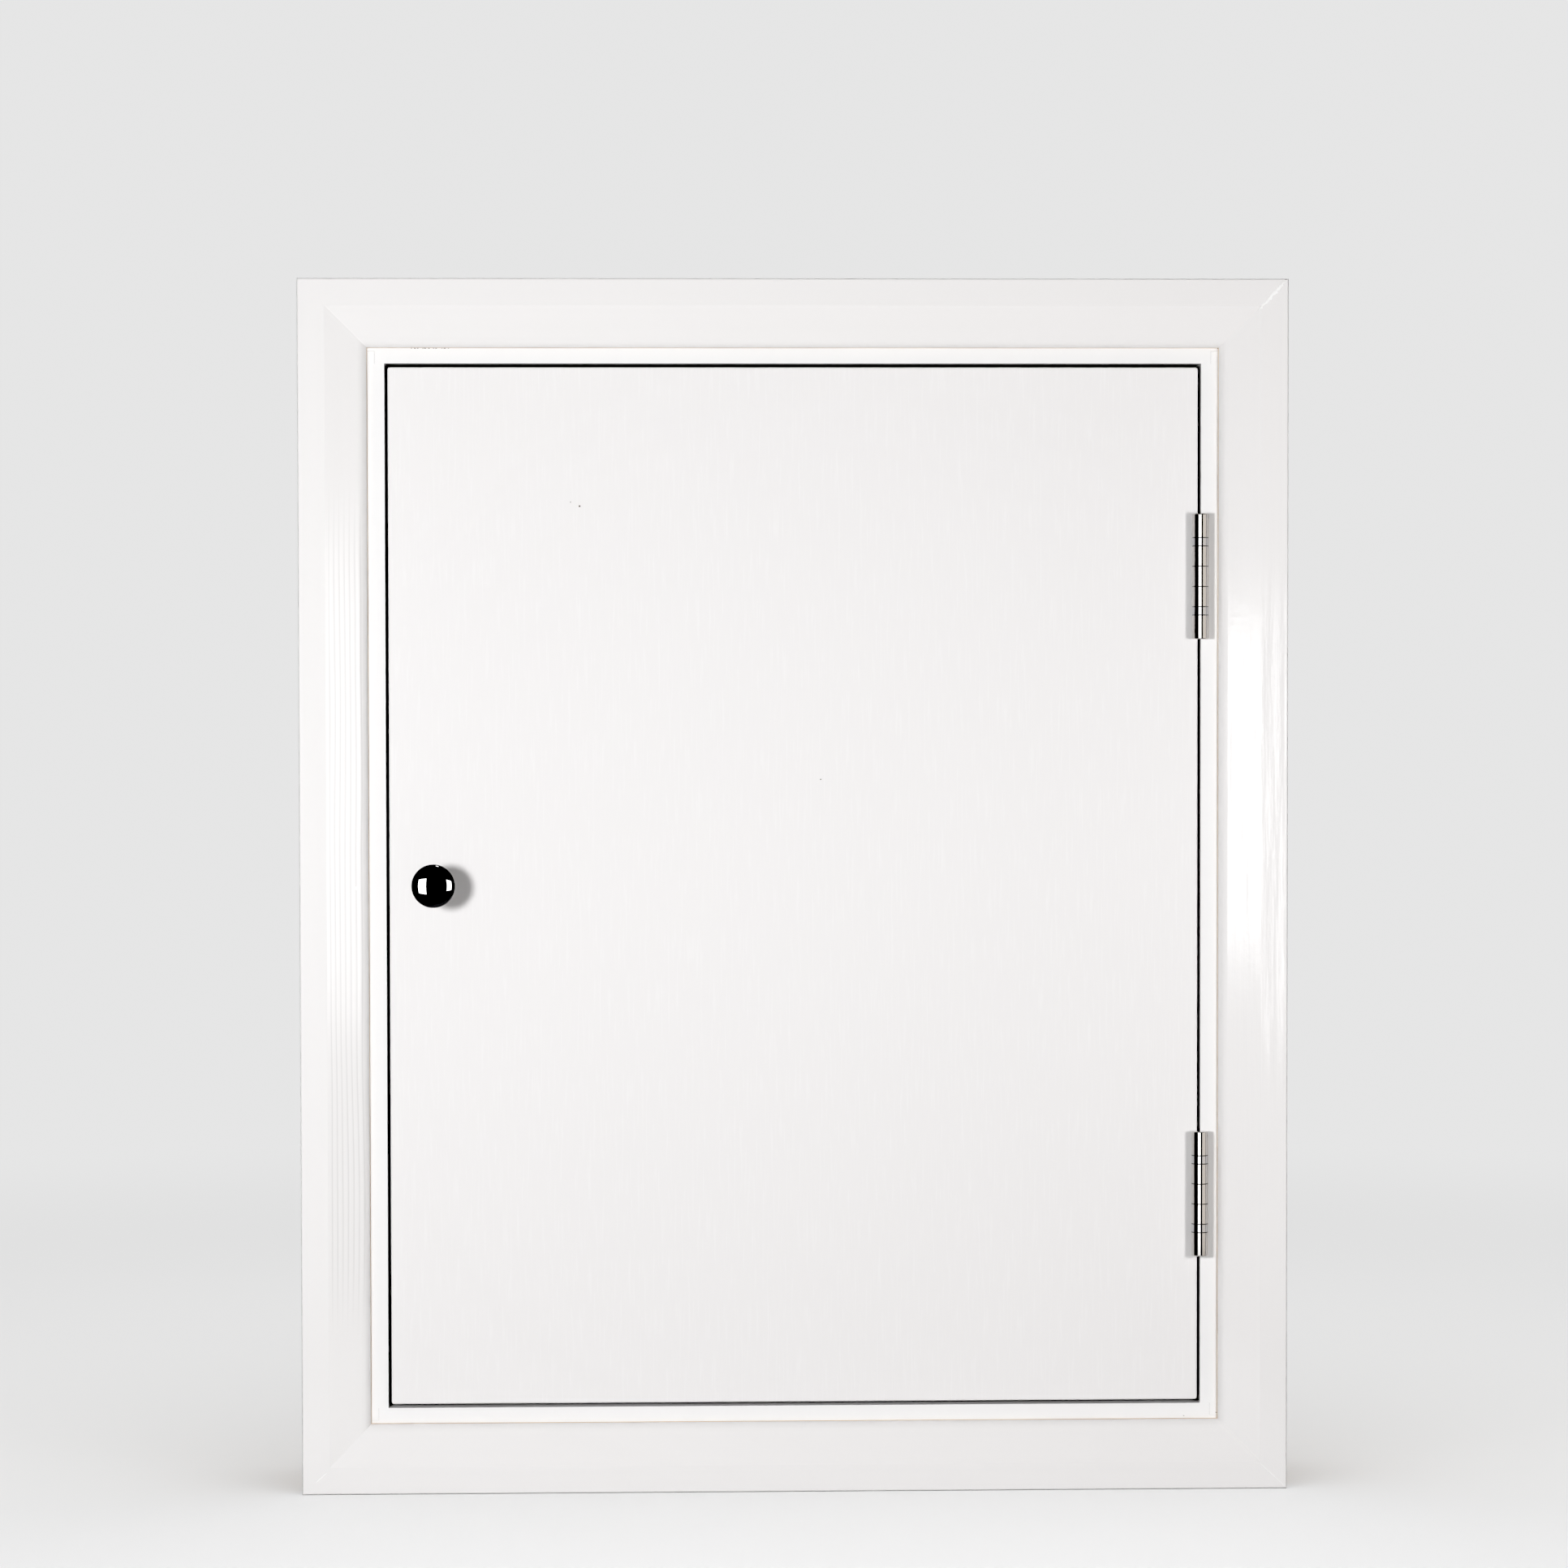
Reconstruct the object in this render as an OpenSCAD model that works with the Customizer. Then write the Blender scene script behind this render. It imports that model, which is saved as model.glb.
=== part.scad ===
// Eaves access door: a flush leaf hung in a timber lining on two ball bearing butt hinges,
// with a mitred chamfered architrave on all four sides, a ball knob and a magnetic catch.
// Millimetres. The origin is on the wall face, at the bottom centre of the architrave.
// X runs along the wall to the right, Y into the wall and Z up. The leaf opens towards -Y.

/* [Leaf] */
// Width of the leaf
leaf_w = 658; // [520:1:760]
// Height of the leaf
leaf_h = 843; // [640:1:1000]
// Thickness of the leaf
leaf_t = 44; // [40:0.5:54]
// Thickness of the sheet on each face of the leaf
facing_t = 3; // [2.5:0.5:5]
// Thickness of the solid strips round the core
lipping_t = 10; // [8:0.5:16]
// How much the latch edge tapers back over the leaf's thickness, so that it clears the lining
latch_bevel = 1.5; // [0.5:0.1:2.5]
// Width of the eased edge round both faces
leaf_arris = 0.8; // [0.4:0.1:1.6]
// Corner radius of the leaf seen from the front
leaf_corner_r = 2.5; // [1:0.5:5]
// Gap between the leaf and each side of the lining
side_gap = 2.5; // [2:0.1:4]
// Gap between the leaf and the head and sill of the lining
end_gap = 3; // [2:0.1:5]

/* [Lining] */
// Thickness of the lining boards
lining_t = 30; // [26:1:38]
// Depth of the lining from front to back
lining_depth = 112; // [106:1:180]
// Thickness of the tongue on each end of the jambs
tongue_t = 14; // [10:1:16]
// Distance from the jamb's inner face to its tongue
tongue_inset = 8; // [6:1:9]
// Length of the tongue, which is housed in the head and sill
tongue_len = 10; // [6:1:16]
// Clearance round the tongue in its trench
tongue_play = 0.1; // [0.05:0.05:0.3]

/* [Architrave] */
// Width of the architrave
architrave_w = 55; // [50:1:70]
// Thickness of the architrave at its outer edge
architrave_t = 18; // [15:0.5:22]
// Strip of the jambs' front edge left bare inside the architrave
side_reveal = 14; // [8:0.5:15]
// Strip of the head's and sill's front edge left bare inside the architrave
end_reveal = 12.5; // [8:0.5:15]
// Width of the flat band along the outer edge
flat_w = 22; // [16:1:26]
// Radius of the rounded nose along the inner edge
nose_r = 10; // [6:0.5:11]
// Radius of the outer front edge
outer_round = 1.5; // [0.5:0.5:3]
// Depth of the hollow planed along the back
hollow_depth = 1.5; // [0.5:0.5:3]
// Width of the flat left along the back's inner edge, on the lining
inner_land = 13; // [13:1:16]
// Width of the flat left along the back's outer edge, on the wall
outer_land = 12; // [8:1:14]

/* [Stops and seals] */
// How far the stops stand into the opening
stop_t = 12; // [11:0.5:16]
// Width of the stops from front to back
stop_w = 35; // [30:1:40]
// Radius of the stops' two inner edges
stop_round = 2; // [1:0.5:4]
// Width of the draught seal
seal_w = 8.4; // [7:0.1:9]
// Height of the draught seal
seal_t = 2.7; // [2:0.1:4]
// Thickness of the seal's base
seal_base = 1; // [0.6:0.1:1.4]
// Distance from the lining to the seal
seal_inset = 1.5; // [1:0.5:2]
// Radius of the ribs along the seal
seal_rib_r = 1; // [0.6:0.1:1.3]
// Number of ribs
seal_ribs = 3; // [2:1:3]
// Gap between the seal and the closed leaf
seal_gap = 0.3; // [0.2:0.1:1]

/* [Hinges] */
// Distance from the leaf's top and bottom edge to the middle of each hinge
hinge_inset = 170; // [110:1:220]
// Width of the hinge when it lies open
hinge_w = 76; // [68:1:82]
// Thickness of the hinge plates
plate_t = 3; // [2.5:0.1:3.5]
// Radius of the barrel
barrel_r = 6.75; // [6.5:0.05:7.5]
// Radius of the pin
pin_r = 3.75; // [3.4:0.05:3.9]
// Radial clearance between the pin and what turns on it
pin_play = 0.05; // [0.03:0.01:0.1]
// Length of each of the five knuckles
knuckle_len = 16.3; // [14:0.1:19]
// Length of each of the two bearings
bearing_len = 6.7; // [6:0.1:8]
// Running gap between one length of the barrel and the next
knuckle_gap = 0.1; // [0.05:0.05:0.3]
// Length of the button tip on each end of the barrel
tip_len = 3.2; // [2:0.1:5]
// Radius of the tip's outer edge
tip_round = 0.9; // [0.4:0.1:1.5]
// Gap between the barrel and the faces of the leaf and lining
barrel_proud = 0.5; // [0.3:0.1:1.5]
// Clearance between a plate and the other plate's knuckles
notch_play = 0.35; // [0.3:0.05:0.5]
// Clearance round each plate in its mortise
mortise_play = 0.2; // [0.1:0.05:0.4]
// Distance from each plate's far edge to its two end screws
hinge_screw_edge = 9.5; // [7:0.5:12]
// Distance that the two middle screws stand nearer to the barrel
hinge_screw_step = 10; // [6:0.5:12]
// Distance from each plate's ends to its end screws
hinge_screw_end = 11; // [8:0.5:14]
// Distance from the middle of each plate to its middle screws
hinge_screw_mid = 13; // [8:0.5:16]

/* [Hinge bearings] */
// Thickness of the bearing's outer skirt
skirt_t = 0.6; // [0.4:0.05:0.8]
// Radius of the bearing balls
ball_r = 0.9; // [0.7:0.05:0.95]
// Number of balls in each bearing
ball_count = 8; // [6:1:12]
// Distance between the faces of the two races
race_gap = 0.8; // [0.6:0.1:1.2]
// Clearance round each ball and round the turning race
race_play = 0.1; // [0.05:0.05:0.15]

/* [Knob] */
// Radius of the ball
knob_r = 17.5; // [14:0.5:20]
// How far the knob stands out of the leaf
knob_reach = 44; // [42:0.5:56]
// Radius of the neck behind the ball
neck_r = 6; // [5:0.5:8]
// Radius of the foot on the leaf
foot_r = 9.5; // [9:0.5:13]
// Thickness of the foot
foot_t = 2; // [1.5:0.5:3]
// Radius of the hollow between the foot and the neck
neck_round = 3; // [1:0.5:3]
// Distance from the leaf's latch edge to the middle of the knob
knob_inset = 37.5; // [34:0.5:60]
// Height of the knob above the middle of the leaf
knob_rise = 3; // [-120:1:120]
// Radius of the bolt through the leaf
bolt_r = 2; // [1.5:0.1:3]
// Length of the bolt's thread inside the knob
bolt_grip = 14; // [8:1:20]
// Radius of the bolt's head
bolt_head_r = 4; // [3.5:0.5:5]
// Height of the bolt's head
bolt_head_h = 2.8; // [2:0.1:3.5]
// Radius of the washer under the bolt's head
bolt_washer_r = 6; // [5.5:0.5:8]
// Thickness of that washer
bolt_washer_t = 1; // [0.8:0.1:1.6]
// Clearance round the bolt, and round the washer in its counterbore
bolt_play = 0.2; // [0.1:0.1:0.5]
// Depth of the bolt's head below the leaf's back
bolt_recess = 0.4; // [0.2:0.1:1]
// Depth of the knob's bore beyond the bolt's end
bolt_end_gap = 2; // [1:0.5:4]

/* [Catch] */
// Length of the catch's base
catch_l = 46; // [42:1:54]
// How far the catch stands out of the stop
catch_w = 13; // [12:0.5:15]
// Depth of the catch's housing behind its face
catch_d = 14; // [13:0.5:18]
// Thickness of the catch's base
catch_base_t = 2.5; // [2:0.5:3.5]
// Length of the housing round the magnet
catch_box_l = 24; // [23:1:27]
// Thickness of the magnet
magnet_t = 4; // [3:0.5:5]
// Length of the magnet and of its two steel plates
magnet_l = 20; // [16:1:20]
// Depth of the magnet and its plates in the housing
magnet_d = 10; // [8:0.5:11]
// Thickness of each steel plate beside the magnet
pole_t = 1.2; // [1:0.1:1.5]
// How far the steel plates stand out of the housing
pole_proud = 1; // [0.5:0.1:1.5]
// Thickness of the keep plate on the back of the leaf
keep_t = 1.2; // [1:0.1:2]
// Length of the keep plate
keep_l = 38; // [38:1:44]
// Width of the keep plate
keep_w = 12; // [11:0.5:13]
// Distance from the keep's ends to its screws
keep_screw_edge = 4.5; // [4:0.5:5.5]
// Gap between the steel plates and the keep when the leaf is shut
catch_gap = 0.3; // [0.2:0.1:0.6]
// Clearance round the magnet and its plates in the housing
pocket_play = 0.1; // [0.05:0.05:0.2]

/* [Insulation] */
// Thickness of the board on the back of the leaf
board_t = 50; // [30:1:50]
// Gap between the board and the stops at rest
board_gap = 8; // [6:1:14]
// Clearance that the board and leaf keep while they swing past the lining
swing_gap = 4; // [2:0.5:8]
// Clearance above and below the catch where the board is cut away
board_notch_gap = 6; // [4:1:12]
// Distance from the board's edges to its fixings
board_screw_inset = 60; // [40:1:120]
// Radius of the large washers on the board
board_washer_r = 18; // [14:1:25]
// Thickness of those washers
board_washer_t = 1.2; // [1:0.1:2]
// Depth that the board's screws reach into the leaf
board_screw_grip = 20; // [12:1:30]
// Head radius of the board's screws
board_head_r = 5; // [4:0.1:6]
// Head height of the board's screws
board_head_h = 2; // [1.5:0.1:3]

/* [Screws and nails] */
// Shank radius of the hinge screws
hinge_screw_r = 2.25; // [2:0.05:2.5]
// Head radius of the hinge screws
hinge_screw_head_r = 4.4; // [4:0.1:4.8]
// Length of the hinge screws
hinge_screw_l = 25; // [20:1:28]
// Thickness of the plate left under each countersink
hinge_screw_land = 0.4; // [0.2:0.1:0.6]
// Shank radius of the screws that join the lining
joint_screw_r = 2.5; // [2:0.1:3]
// Length of the screws that join the lining
joint_screw_l = 70; // [50:1:90]
// Distance from the front and back of the lining to those screws
joint_screw_inset = 28; // [20:1:36]
// Shank radius of the catch screws
catch_screw_r = 1.5; // [1.2:0.1:1.8]
// Length of the catch screws and keep screws
catch_screw_l = 14; // [10:1:14]
// Shank radius of the insulation screws
board_screw_r = 2.3; // [2:0.1:2.6]
// Clearance round every screw and nail
screw_play = 0.1; // [0.05:0.05:0.2]
// Shank radius of the nails
nail_r = 1; // [0.8:0.1:1.4]
// Head radius of the nails
nail_head_r = 1.6; // [1.5:0.1:2]
// Head height of the nails
nail_head_h = 1; // [0.8:0.1:1.5]
// Length of the architrave nails
architrave_nail_l = 40; // [30:1:50]
// Distance from the architrave nails to the inner edge of the hollow in its back
architrave_nail_edge = 4; // [3:0.5:6]
// Length of the stop nails
stop_nail_l = 32; // [25:1:34]
// How far the nail heads are punched below the surface
nail_sink = 1.5; // [1:0.5:2.5]
// Distance from the corners of the opening to the first nail
nail_inset = 60; // [40:1:120]

/* [Fixing holes] */
// Radius of the holes for the screws that hold the lining in the wall
fixing_r = 2.75; // [2.5:0.05:3.5]
// Radius of the countersinks on the inside of the jambs
fixing_csk_r = 5.5; // [5:0.1:7]
// Distance from the front of the lining to the front row of holes
fixing_front = 24; // [20:1:34]
// Distance from the back of the lining to the rear row of holes
fixing_back = 15; // [12:1:20]
// Distance from the top and bottom of the opening to the holes
fixing_inset = 85; // [80:1:100]

/* [Hidden] */
$fn = 48;

// The opening inside the lining, and where it stands
open_w = leaf_w + 2 * side_gap;
open_h = leaf_h + 2 * end_gap;
sill_z = end_reveal + architrave_w;
open_z = sill_z + open_h / 2;
leaf_left = -leaf_w / 2;
leaf_right = leaf_w / 2;
leaf_bottom = sill_z + end_gap;
leaf_top = leaf_bottom + leaf_h;

// The four sides of the frame, clockwise from the top
HEAD = "head";
RIGHT = "right";
SILL = "sill";
LEFT = "left";
SIDES = [HEAD, RIGHT, SILL, LEFT];
function is_rail(side) = side == HEAD || side == SILL;
function turn(side) = side == HEAD ? 0 : side == RIGHT ? 90 : side == SILL ? 180 : 270;

// Architrave section: where the chamfer leaves the nose and meets the flat band
chamfer_u = architrave_w - flat_w;
chamfer_run = chamfer_u - nose_r;
chamfer_tilt = atan2(architrave_t, chamfer_run) - asin(nose_r / norm([chamfer_run, architrave_t]));
nose_end = [nose_r - nose_r * sin(chamfer_tilt), nose_r * cos(chamfer_tilt)];
mitre_over = 5;

// Stops and seals
stop_y = leaf_t + seal_gap + seal_t;
stop_inner = open_w / 2 - stop_t;

// Hinges
pin_x = leaf_right + side_gap / 2;
pin_y = -barrel_r - barrel_proud;
hinge_half = hinge_w / 2;
upper_hinge_z = leaf_top - hinge_inset;
lower_hinge_z = leaf_bottom + hinge_inset;
barrel_parts = [knuckle_len, bearing_len, knuckle_len, knuckle_len, knuckle_len, bearing_len, knuckle_len];
function run(parts, n) = n == 0 ? 0 : parts[n - 1] + run(parts, n - 1);
barrel_len = run(barrel_parts, len(barrel_parts)) + (len(barrel_parts) - 1) * knuckle_gap;
function part_z(i) = run(barrel_parts, i) + i * knuckle_gap - barrel_len / 2;
FRAME_KNUCKLES = [0, 3, 6];
DOOR_KNUCKLES = [2, 4];
LOWER_BEARING = 1;
screw_y_far = hinge_half - hinge_screw_edge;
HINGE_HOLES = [
    [screw_y_far, barrel_len / 2 - hinge_screw_end],
    [screw_y_far - hinge_screw_step, hinge_screw_mid]
];
hinge_screw_head_h = plate_t - hinge_screw_land;

// Bearings
skirt_in = barrel_r - skirt_t;
race_floor = (bearing_len - race_gap) / 2;
ball_pitch_r = (pin_r + pin_play + skirt_in) / 2;

// Knob and its bolt
knob_x = leaf_left + knob_inset;
knob_z = (leaf_bottom + leaf_top) / 2 + knob_rise;
ball_y = -(knob_reach - knob_r);
bolt_sink = bolt_washer_t + bolt_head_h + bolt_recess;

// Catch
catch_x = -stop_inner;
catch_z = (leaf_bottom + leaf_top) / 2;
catch_y = leaf_t + keep_t + catch_gap + pole_proud;
stack_t = magnet_t + 2 * pole_t;
stack_x = catch_x + (catch_w + catch_base_t - stack_t) / 2;
catch_screw_z = (catch_l + catch_box_l) / 4;
catch_head_r = 2 * catch_screw_r;
catch_head_h = catch_screw_r;
keep_screw_z = keep_l / 2 - keep_screw_edge;

// A point at (x, y) from the pin stays clear of an edge at (edge_x, edge_y) while it swings past
function swing_x(edge_x, edge_y, y) = -sqrt(pow(-edge_x - swing_gap, 2) + edge_y * edge_y - y * y);
board_back = leaf_t + board_t;
board_left = max(
    board_gap - stop_inner,
    pin_x + swing_x(-stop_inner - pin_x, stop_y - pin_y, board_back - pin_y)
);
board_right = stop_inner - board_gap;
board_bottom = sill_z + stop_t + board_gap;
board_top = sill_z + open_h - stop_t - board_gap;
board_notch = pin_x + swing_x(catch_x + catch_w - pin_x, catch_y - pole_proud - pin_y, board_back - pin_y);
board_screw_xs = [board_left + board_screw_inset, board_right - board_screw_inset];
board_screw_zs = [board_bottom + board_screw_inset, open_z, board_top - board_screw_inset];

// Nails
architrave_nail_u = inner_land - architrave_nail_edge;
nail_points = [-1, 0, 1];

// Screws that join the lining, from the front
joint_screw_ys = [joint_screw_inset, lining_depth - joint_screw_inset];
joint_head_r = 2 * joint_screw_r;

// Fixing holes
fixing_ys = [fixing_front, lining_depth - fixing_back];
fixing_zs = [sill_z + fixing_inset, sill_z + open_h - fixing_inset];
fixing_csk_depth = fixing_csk_r - fixing_r;

over = 1;

// Places what follows on one side of the frame: local Z points out of the opening
module on_side(side) {
    translate([0, 0, open_z])
        rotate([0, turn(side), 0])
            translate([0, 0, is_rail(side) ? open_h / 2 : open_w / 2])
                children();
}

// Half the clear length of one side of the opening
function half_len(side) = is_rail(side) ? open_w / 2 : open_h / 2;

// The bare strip of lining along one side, and along the two sides next to it
function reveal(side) = is_rail(side) ? end_reveal : side_reveal;
function next_reveal(side) = is_rail(side) ? side_reveal : end_reveal;

// Sweeps a section along one side and mitres both ends. The section's X is the distance out
// from the opening, and its Y the distance in front of the wall face. The mitres start at the
// opening's corners, or longer by the stretch.
module mitred(side, inner, outer, stretch = 0) {
    half = half_len(side) + stretch;
    low = inner - mitre_over;
    high = outer + mitre_over;
    on_side(side)
        intersection() {
            rotate([180, -90, 0])
                linear_extrude(height = 2 * (half + high), center = true)
                    children();
            rotate([90, 0, 0])
                linear_extrude(height = 2 * (lining_depth + architrave_t), center = true)
                    polygon([[-half - low, low], [half + low, low], [half + high, high], [-half - high, high]]);
        }
}

// The waste left outside a rounded corner, for a corner at the origin with its solid at -X -Y
module corner_waste(r) {
    translate([-r, -r])
        difference() {
            square(r + over);
            circle(r);
        }
}

// A countersunk screw that points down, with its head's face at the origin. With play it is
// the shape of its own hole.
module screw(length, shank_r, head_r, head_h, play = 0) {
    rim = 0.3;
    tip = 1.5 * shank_r;
    translate([0, 0, -rim])
        cylinder(r = head_r + play, h = play > 0 ? rim + over : rim);
    translate([0, 0, -head_h])
        cylinder(r1 = shank_r + play, r2 = head_r + play, h = head_h - rim);
    if (play > 0) {
        translate([0, 0, -length - play])
            cylinder(r = shank_r + play, h = length);
    } else {
        translate([0, 0, tip - length])
            cylinder(r = shank_r, h = length - tip - head_h);
        translate([0, 0, -length])
            cylinder(r1 = shank_r / 5, r2 = shank_r, h = tip);
    }
}

// A lost head nail that points down, with its head at the origin. With play it is the shape
// of its own hole, open to the surface that it was punched below.
module nail(length, play = 0) {
    tip = 2 * nail_r;
    translate([0, 0, -nail_head_h])
        cylinder(r = nail_head_r + play, h = nail_head_h + (play > 0 ? nail_sink + over : 0));
    translate([0, 0, play > 0 ? -length - play : tip - length])
        cylinder(r = nail_r + play, h = play > 0 ? length : length - tip - nail_head_h);
    if (play == 0) {
        translate([0, 0, -length])
            cylinder(r1 = nail_r / 5, r2 = nail_r, h = tip);
    }
}

// The filler over a nail's head, longer than the wood is deep there
module nail_filler() {
    cylinder(r = nail_head_r + screw_play, h = nail_sink + over);
}

// Architrave

module architrave_section() {
    difference() {
        union() {
            intersection() {
                translate([nose_r, 0])
                    circle(nose_r);
                square(nose_r);
            }
            polygon([
                [nose_r, 0], [architrave_w, 0], [architrave_w, architrave_t],
                [chamfer_u, architrave_t], nose_end
            ]);
        }
        translate([architrave_w, architrave_t])
            corner_waste(outer_round);
        polygon([
            [inner_land, -over], [inner_land, 0], [inner_land + 2 * hollow_depth, hollow_depth],
            [architrave_w - outer_land - 2 * hollow_depth, hollow_depth],
            [architrave_w - outer_land, 0], [architrave_w - outer_land, -over]
        ]);
    }
}

module at_architrave_nails(side) {
    // Height of the chamfer above the wall where the nails go in
    surface = nose_end[1] + (architrave_nail_u - nose_end[0]) * tan(chamfer_tilt);
    on_side(side)
        for (k = nail_points)
            translate([k * (half_len(side) - nail_inset), nail_sink - surface, reveal(side) + architrave_nail_u])
                rotate([90, 0, 0])
                    children();
}

module architrave_nail_set(play) {
    for (side = SIDES)
        at_architrave_nails(side)
            nail(architrave_nail_l, play);
}

module architrave_bar(side) {
    mitred(side, reveal(side), reveal(side) + architrave_w, next_reveal(side) - reveal(side))
        translate([reveal(side), 0])
            architrave_section();
}

module architrave(side) {
    color("white")
        difference() {
            architrave_bar(side);
            architrave_nail_set(screw_play);
        }
}

module architrave_nails() {
    color("silver")
        architrave_nail_set(0);
}

module architrave_fillers() {
    color("white")
        for (side = SIDES)
            intersection() {
                architrave_bar(side);
                at_architrave_nails(side)
                    nail_filler();
            }
}

// Lining

module lining_screw_set(play) {
    for (side = [HEAD, SILL], x = [-1, 1], y = joint_screw_ys)
        on_side(side)
            translate([x * (open_w + lining_t) / 2, y, lining_t])
                screw(joint_screw_l, joint_screw_r, joint_head_r, joint_screw_r, play);
}

module tongue(side, end, play) {
    on_side(side)
        translate([end * (half_len(side) + (tongue_len + play) / 2), lining_depth / 2,
            tongue_inset + tongue_t / 2])
            cube([tongue_len + play, lining_depth + 2 * play, tongue_t + 2 * play], center = true);
}

// The lining's head or sill, trenched for the tongues of both jambs
module lining_rail(side) {
    color("white")
        difference() {
            on_side(side)
                translate([-open_w / 2 - lining_t, 0, 0])
                    cube([open_w + 2 * lining_t, lining_depth, lining_t]);
            for (jamb = [RIGHT, LEFT], end = [-1, 1])
                tongue(jamb, end, tongue_play);
            architrave_nail_set(screw_play);
            stop_nail_set(screw_play);
            lining_screw_set(screw_play);
        }
}

module fixing_holes() {
    for (side = [RIGHT, LEFT], y = fixing_ys, x = [-1, 1])
        on_side(side)
            translate([x * (half_len(side) - fixing_inset), y, 0]) {
                cylinder(r = fixing_r, h = lining_t + over);
                translate([0, 0, -over])
                    cylinder(r1 = fixing_csk_r + over, r2 = fixing_r, h = fixing_csk_depth + over);
            }
}

module lining_jamb(side) {
    color("white")
        difference() {
            union() {
                on_side(side)
                    translate([-open_h / 2, 0, 0])
                        cube([open_h, lining_depth, lining_t]);
                for (end = [-1, 1])
                    tongue(side, end, 0);
            }
            fixing_holes();
            architrave_nail_set(screw_play);
            stop_nail_set(screw_play);
            lining_screw_set(screw_play);
            if (side == RIGHT) {
                for (z = [upper_hinge_z, lower_hinge_z]) {
                    hinge_mortise(z, 1);
                    hinge_screw_set(z, 1, screw_play);
                }
            }
        }
}

module lining_screws() {
    color("goldenrod")
        lining_screw_set(0);
}

// Stops and seals

module stop_section() {
    difference() {
        translate([-stop_t, -stop_y - stop_w])
            square([stop_t, stop_w]);
        translate([-stop_t, -stop_y])
            mirror([1, 0])
                corner_waste(stop_round);
        translate([-stop_t, -stop_y - stop_w])
            mirror([0, 1])
                mirror([1, 0])
                    corner_waste(stop_round);
    }
}

module at_stop_nails(side) {
    on_side(side)
        for (k = nail_points)
            translate([k * (half_len(side) - nail_inset), stop_y + stop_w / 2, nail_sink - stop_t])
                rotate([180, 0, 0])
                    children();
}

module stop_nail_set(play) {
    for (side = SIDES)
        at_stop_nails(side)
            nail(stop_nail_l, play);
}

module stop_bar(side) {
    mitred(side, -stop_t, 0)
        stop_section();
}

module stop(side) {
    color("white")
        difference() {
            stop_bar(side);
            stop_nail_set(screw_play);
            if (side == LEFT)
                catch_screw_set(screw_play);
        }
}

module stop_nails() {
    color("silver")
        stop_nail_set(0);
}

module stop_fillers() {
    color("white")
        for (side = SIDES)
            intersection() {
                stop_bar(side);
                at_stop_nails(side)
                    nail_filler();
            }
}

// A ribbed rubber strip on the front of the stops
module seal_section() {
    translate([-seal_inset - seal_w, -stop_y]) {
        square([seal_w, seal_base]);
        for (i = [0 : seal_ribs - 1])
            translate([(i + 0.5) * seal_w / seal_ribs, seal_t - seal_rib_r])
                circle(seal_rib_r);
    }
}

module seal(side) {
    color("dimgray")
        mitred(side, -seal_inset - seal_w, -seal_inset)
            seal_section();
}

// Hinges. In each hinge the pin is the local Z axis, and side is 1 for the frame, -1 for the leaf.

module at_hinge(z) {
    translate([pin_x, pin_y, z])
        children();
}

module side_strip(side, from_y, to_y) {
    left = side > 0 ? side_gap / 2 : -side_gap / 2 - plate_t;
    translate([left, from_y])
        square([plate_t, to_y - from_y]);
}

module hinge_plate(z, side, knuckles) {
    notch_y = barrel_r + notch_play;
    color("silver")
        at_hinge(z)
            difference() {
                union() {
                    translate([0, 0, -barrel_len / 2])
                        linear_extrude(height = barrel_len)
                            side_strip(side, notch_y, hinge_half);
                    for (i = knuckles)
                        translate([0, 0, part_z(i)])
                            linear_extrude(height = barrel_parts[i])
                                union() {
                                    circle(barrel_r);
                                    side_strip(side, 0, notch_y + over);
                                }
                }
                cylinder(r = pin_r + pin_play, h = barrel_len + 2 * over, center = true);
                hinge_screw_pattern(side, screw_play);
            }
}

module hinge_screw_pattern(side, play) {
    for (k = [-1, 1], hole = HINGE_HOLES)
        translate([side * side_gap / 2, hole[0], k * hole[1]])
            rotate([0, -90 * side, 0])
                screw(hinge_screw_l, hinge_screw_r, hinge_screw_head_r, hinge_screw_head_h, play);
}

module hinge_screw_set(z, side, play) {
    at_hinge(z)
        hinge_screw_pattern(side, play);
}

module hinge_screws(z, side) {
    color("silver")
        hinge_screw_set(z, side, 0);
}

// The pocket that one plate lies in, open to the front and to the gap
module hinge_mortise(z, side) {
    depth = hinge_half + mortise_play - pin_y;
    at_hinge(z)
        translate([side > 0 ? side_gap / 2 - over : -side_gap / 2 - plate_t, pin_y, -barrel_len / 2 - mortise_play])
            cube([plate_t + over, depth, barrel_len + 2 * mortise_play]);
}

module hinge_pin(z) {
    color("silver")
        at_hinge(z)
            cylinder(r = pin_r, h = barrel_len, center = true);
}

module hinge_tips(z) {
    color("silver")
        at_hinge(z)
            for (end = [0, 1])
                mirror([0, 0, end])
                    translate([0, 0, barrel_len / 2])
                        rotate_extrude()
                            difference() {
                                square([barrel_r, tip_len]);
                                translate([barrel_r, tip_len])
                                    corner_waste(tip_round);
                            }
}

// Both bearings of a hinge, with the frame's side of each at its own knuckle
module at_bearings(z) {
    at_hinge(z)
        for (end = [0, 1])
            mirror([0, 0, end])
                translate([0, 0, part_z(LOWER_BEARING)])
                    children();
}

module ball_groove() {
    rotate_extrude()
        translate([ball_pitch_r, bearing_len / 2])
            circle(ball_r + race_play / 2);
}

module bearing_cups(z) {
    color("gainsboro")
        at_bearings(z)
            difference() {
                cylinder(r = barrel_r, h = bearing_len);
                translate([0, 0, -over])
                    cylinder(r = pin_r + pin_play, h = bearing_len + 2 * over);
                translate([0, 0, race_floor])
                    cylinder(r = skirt_in, h = bearing_len);
                ball_groove();
            }
}

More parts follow.
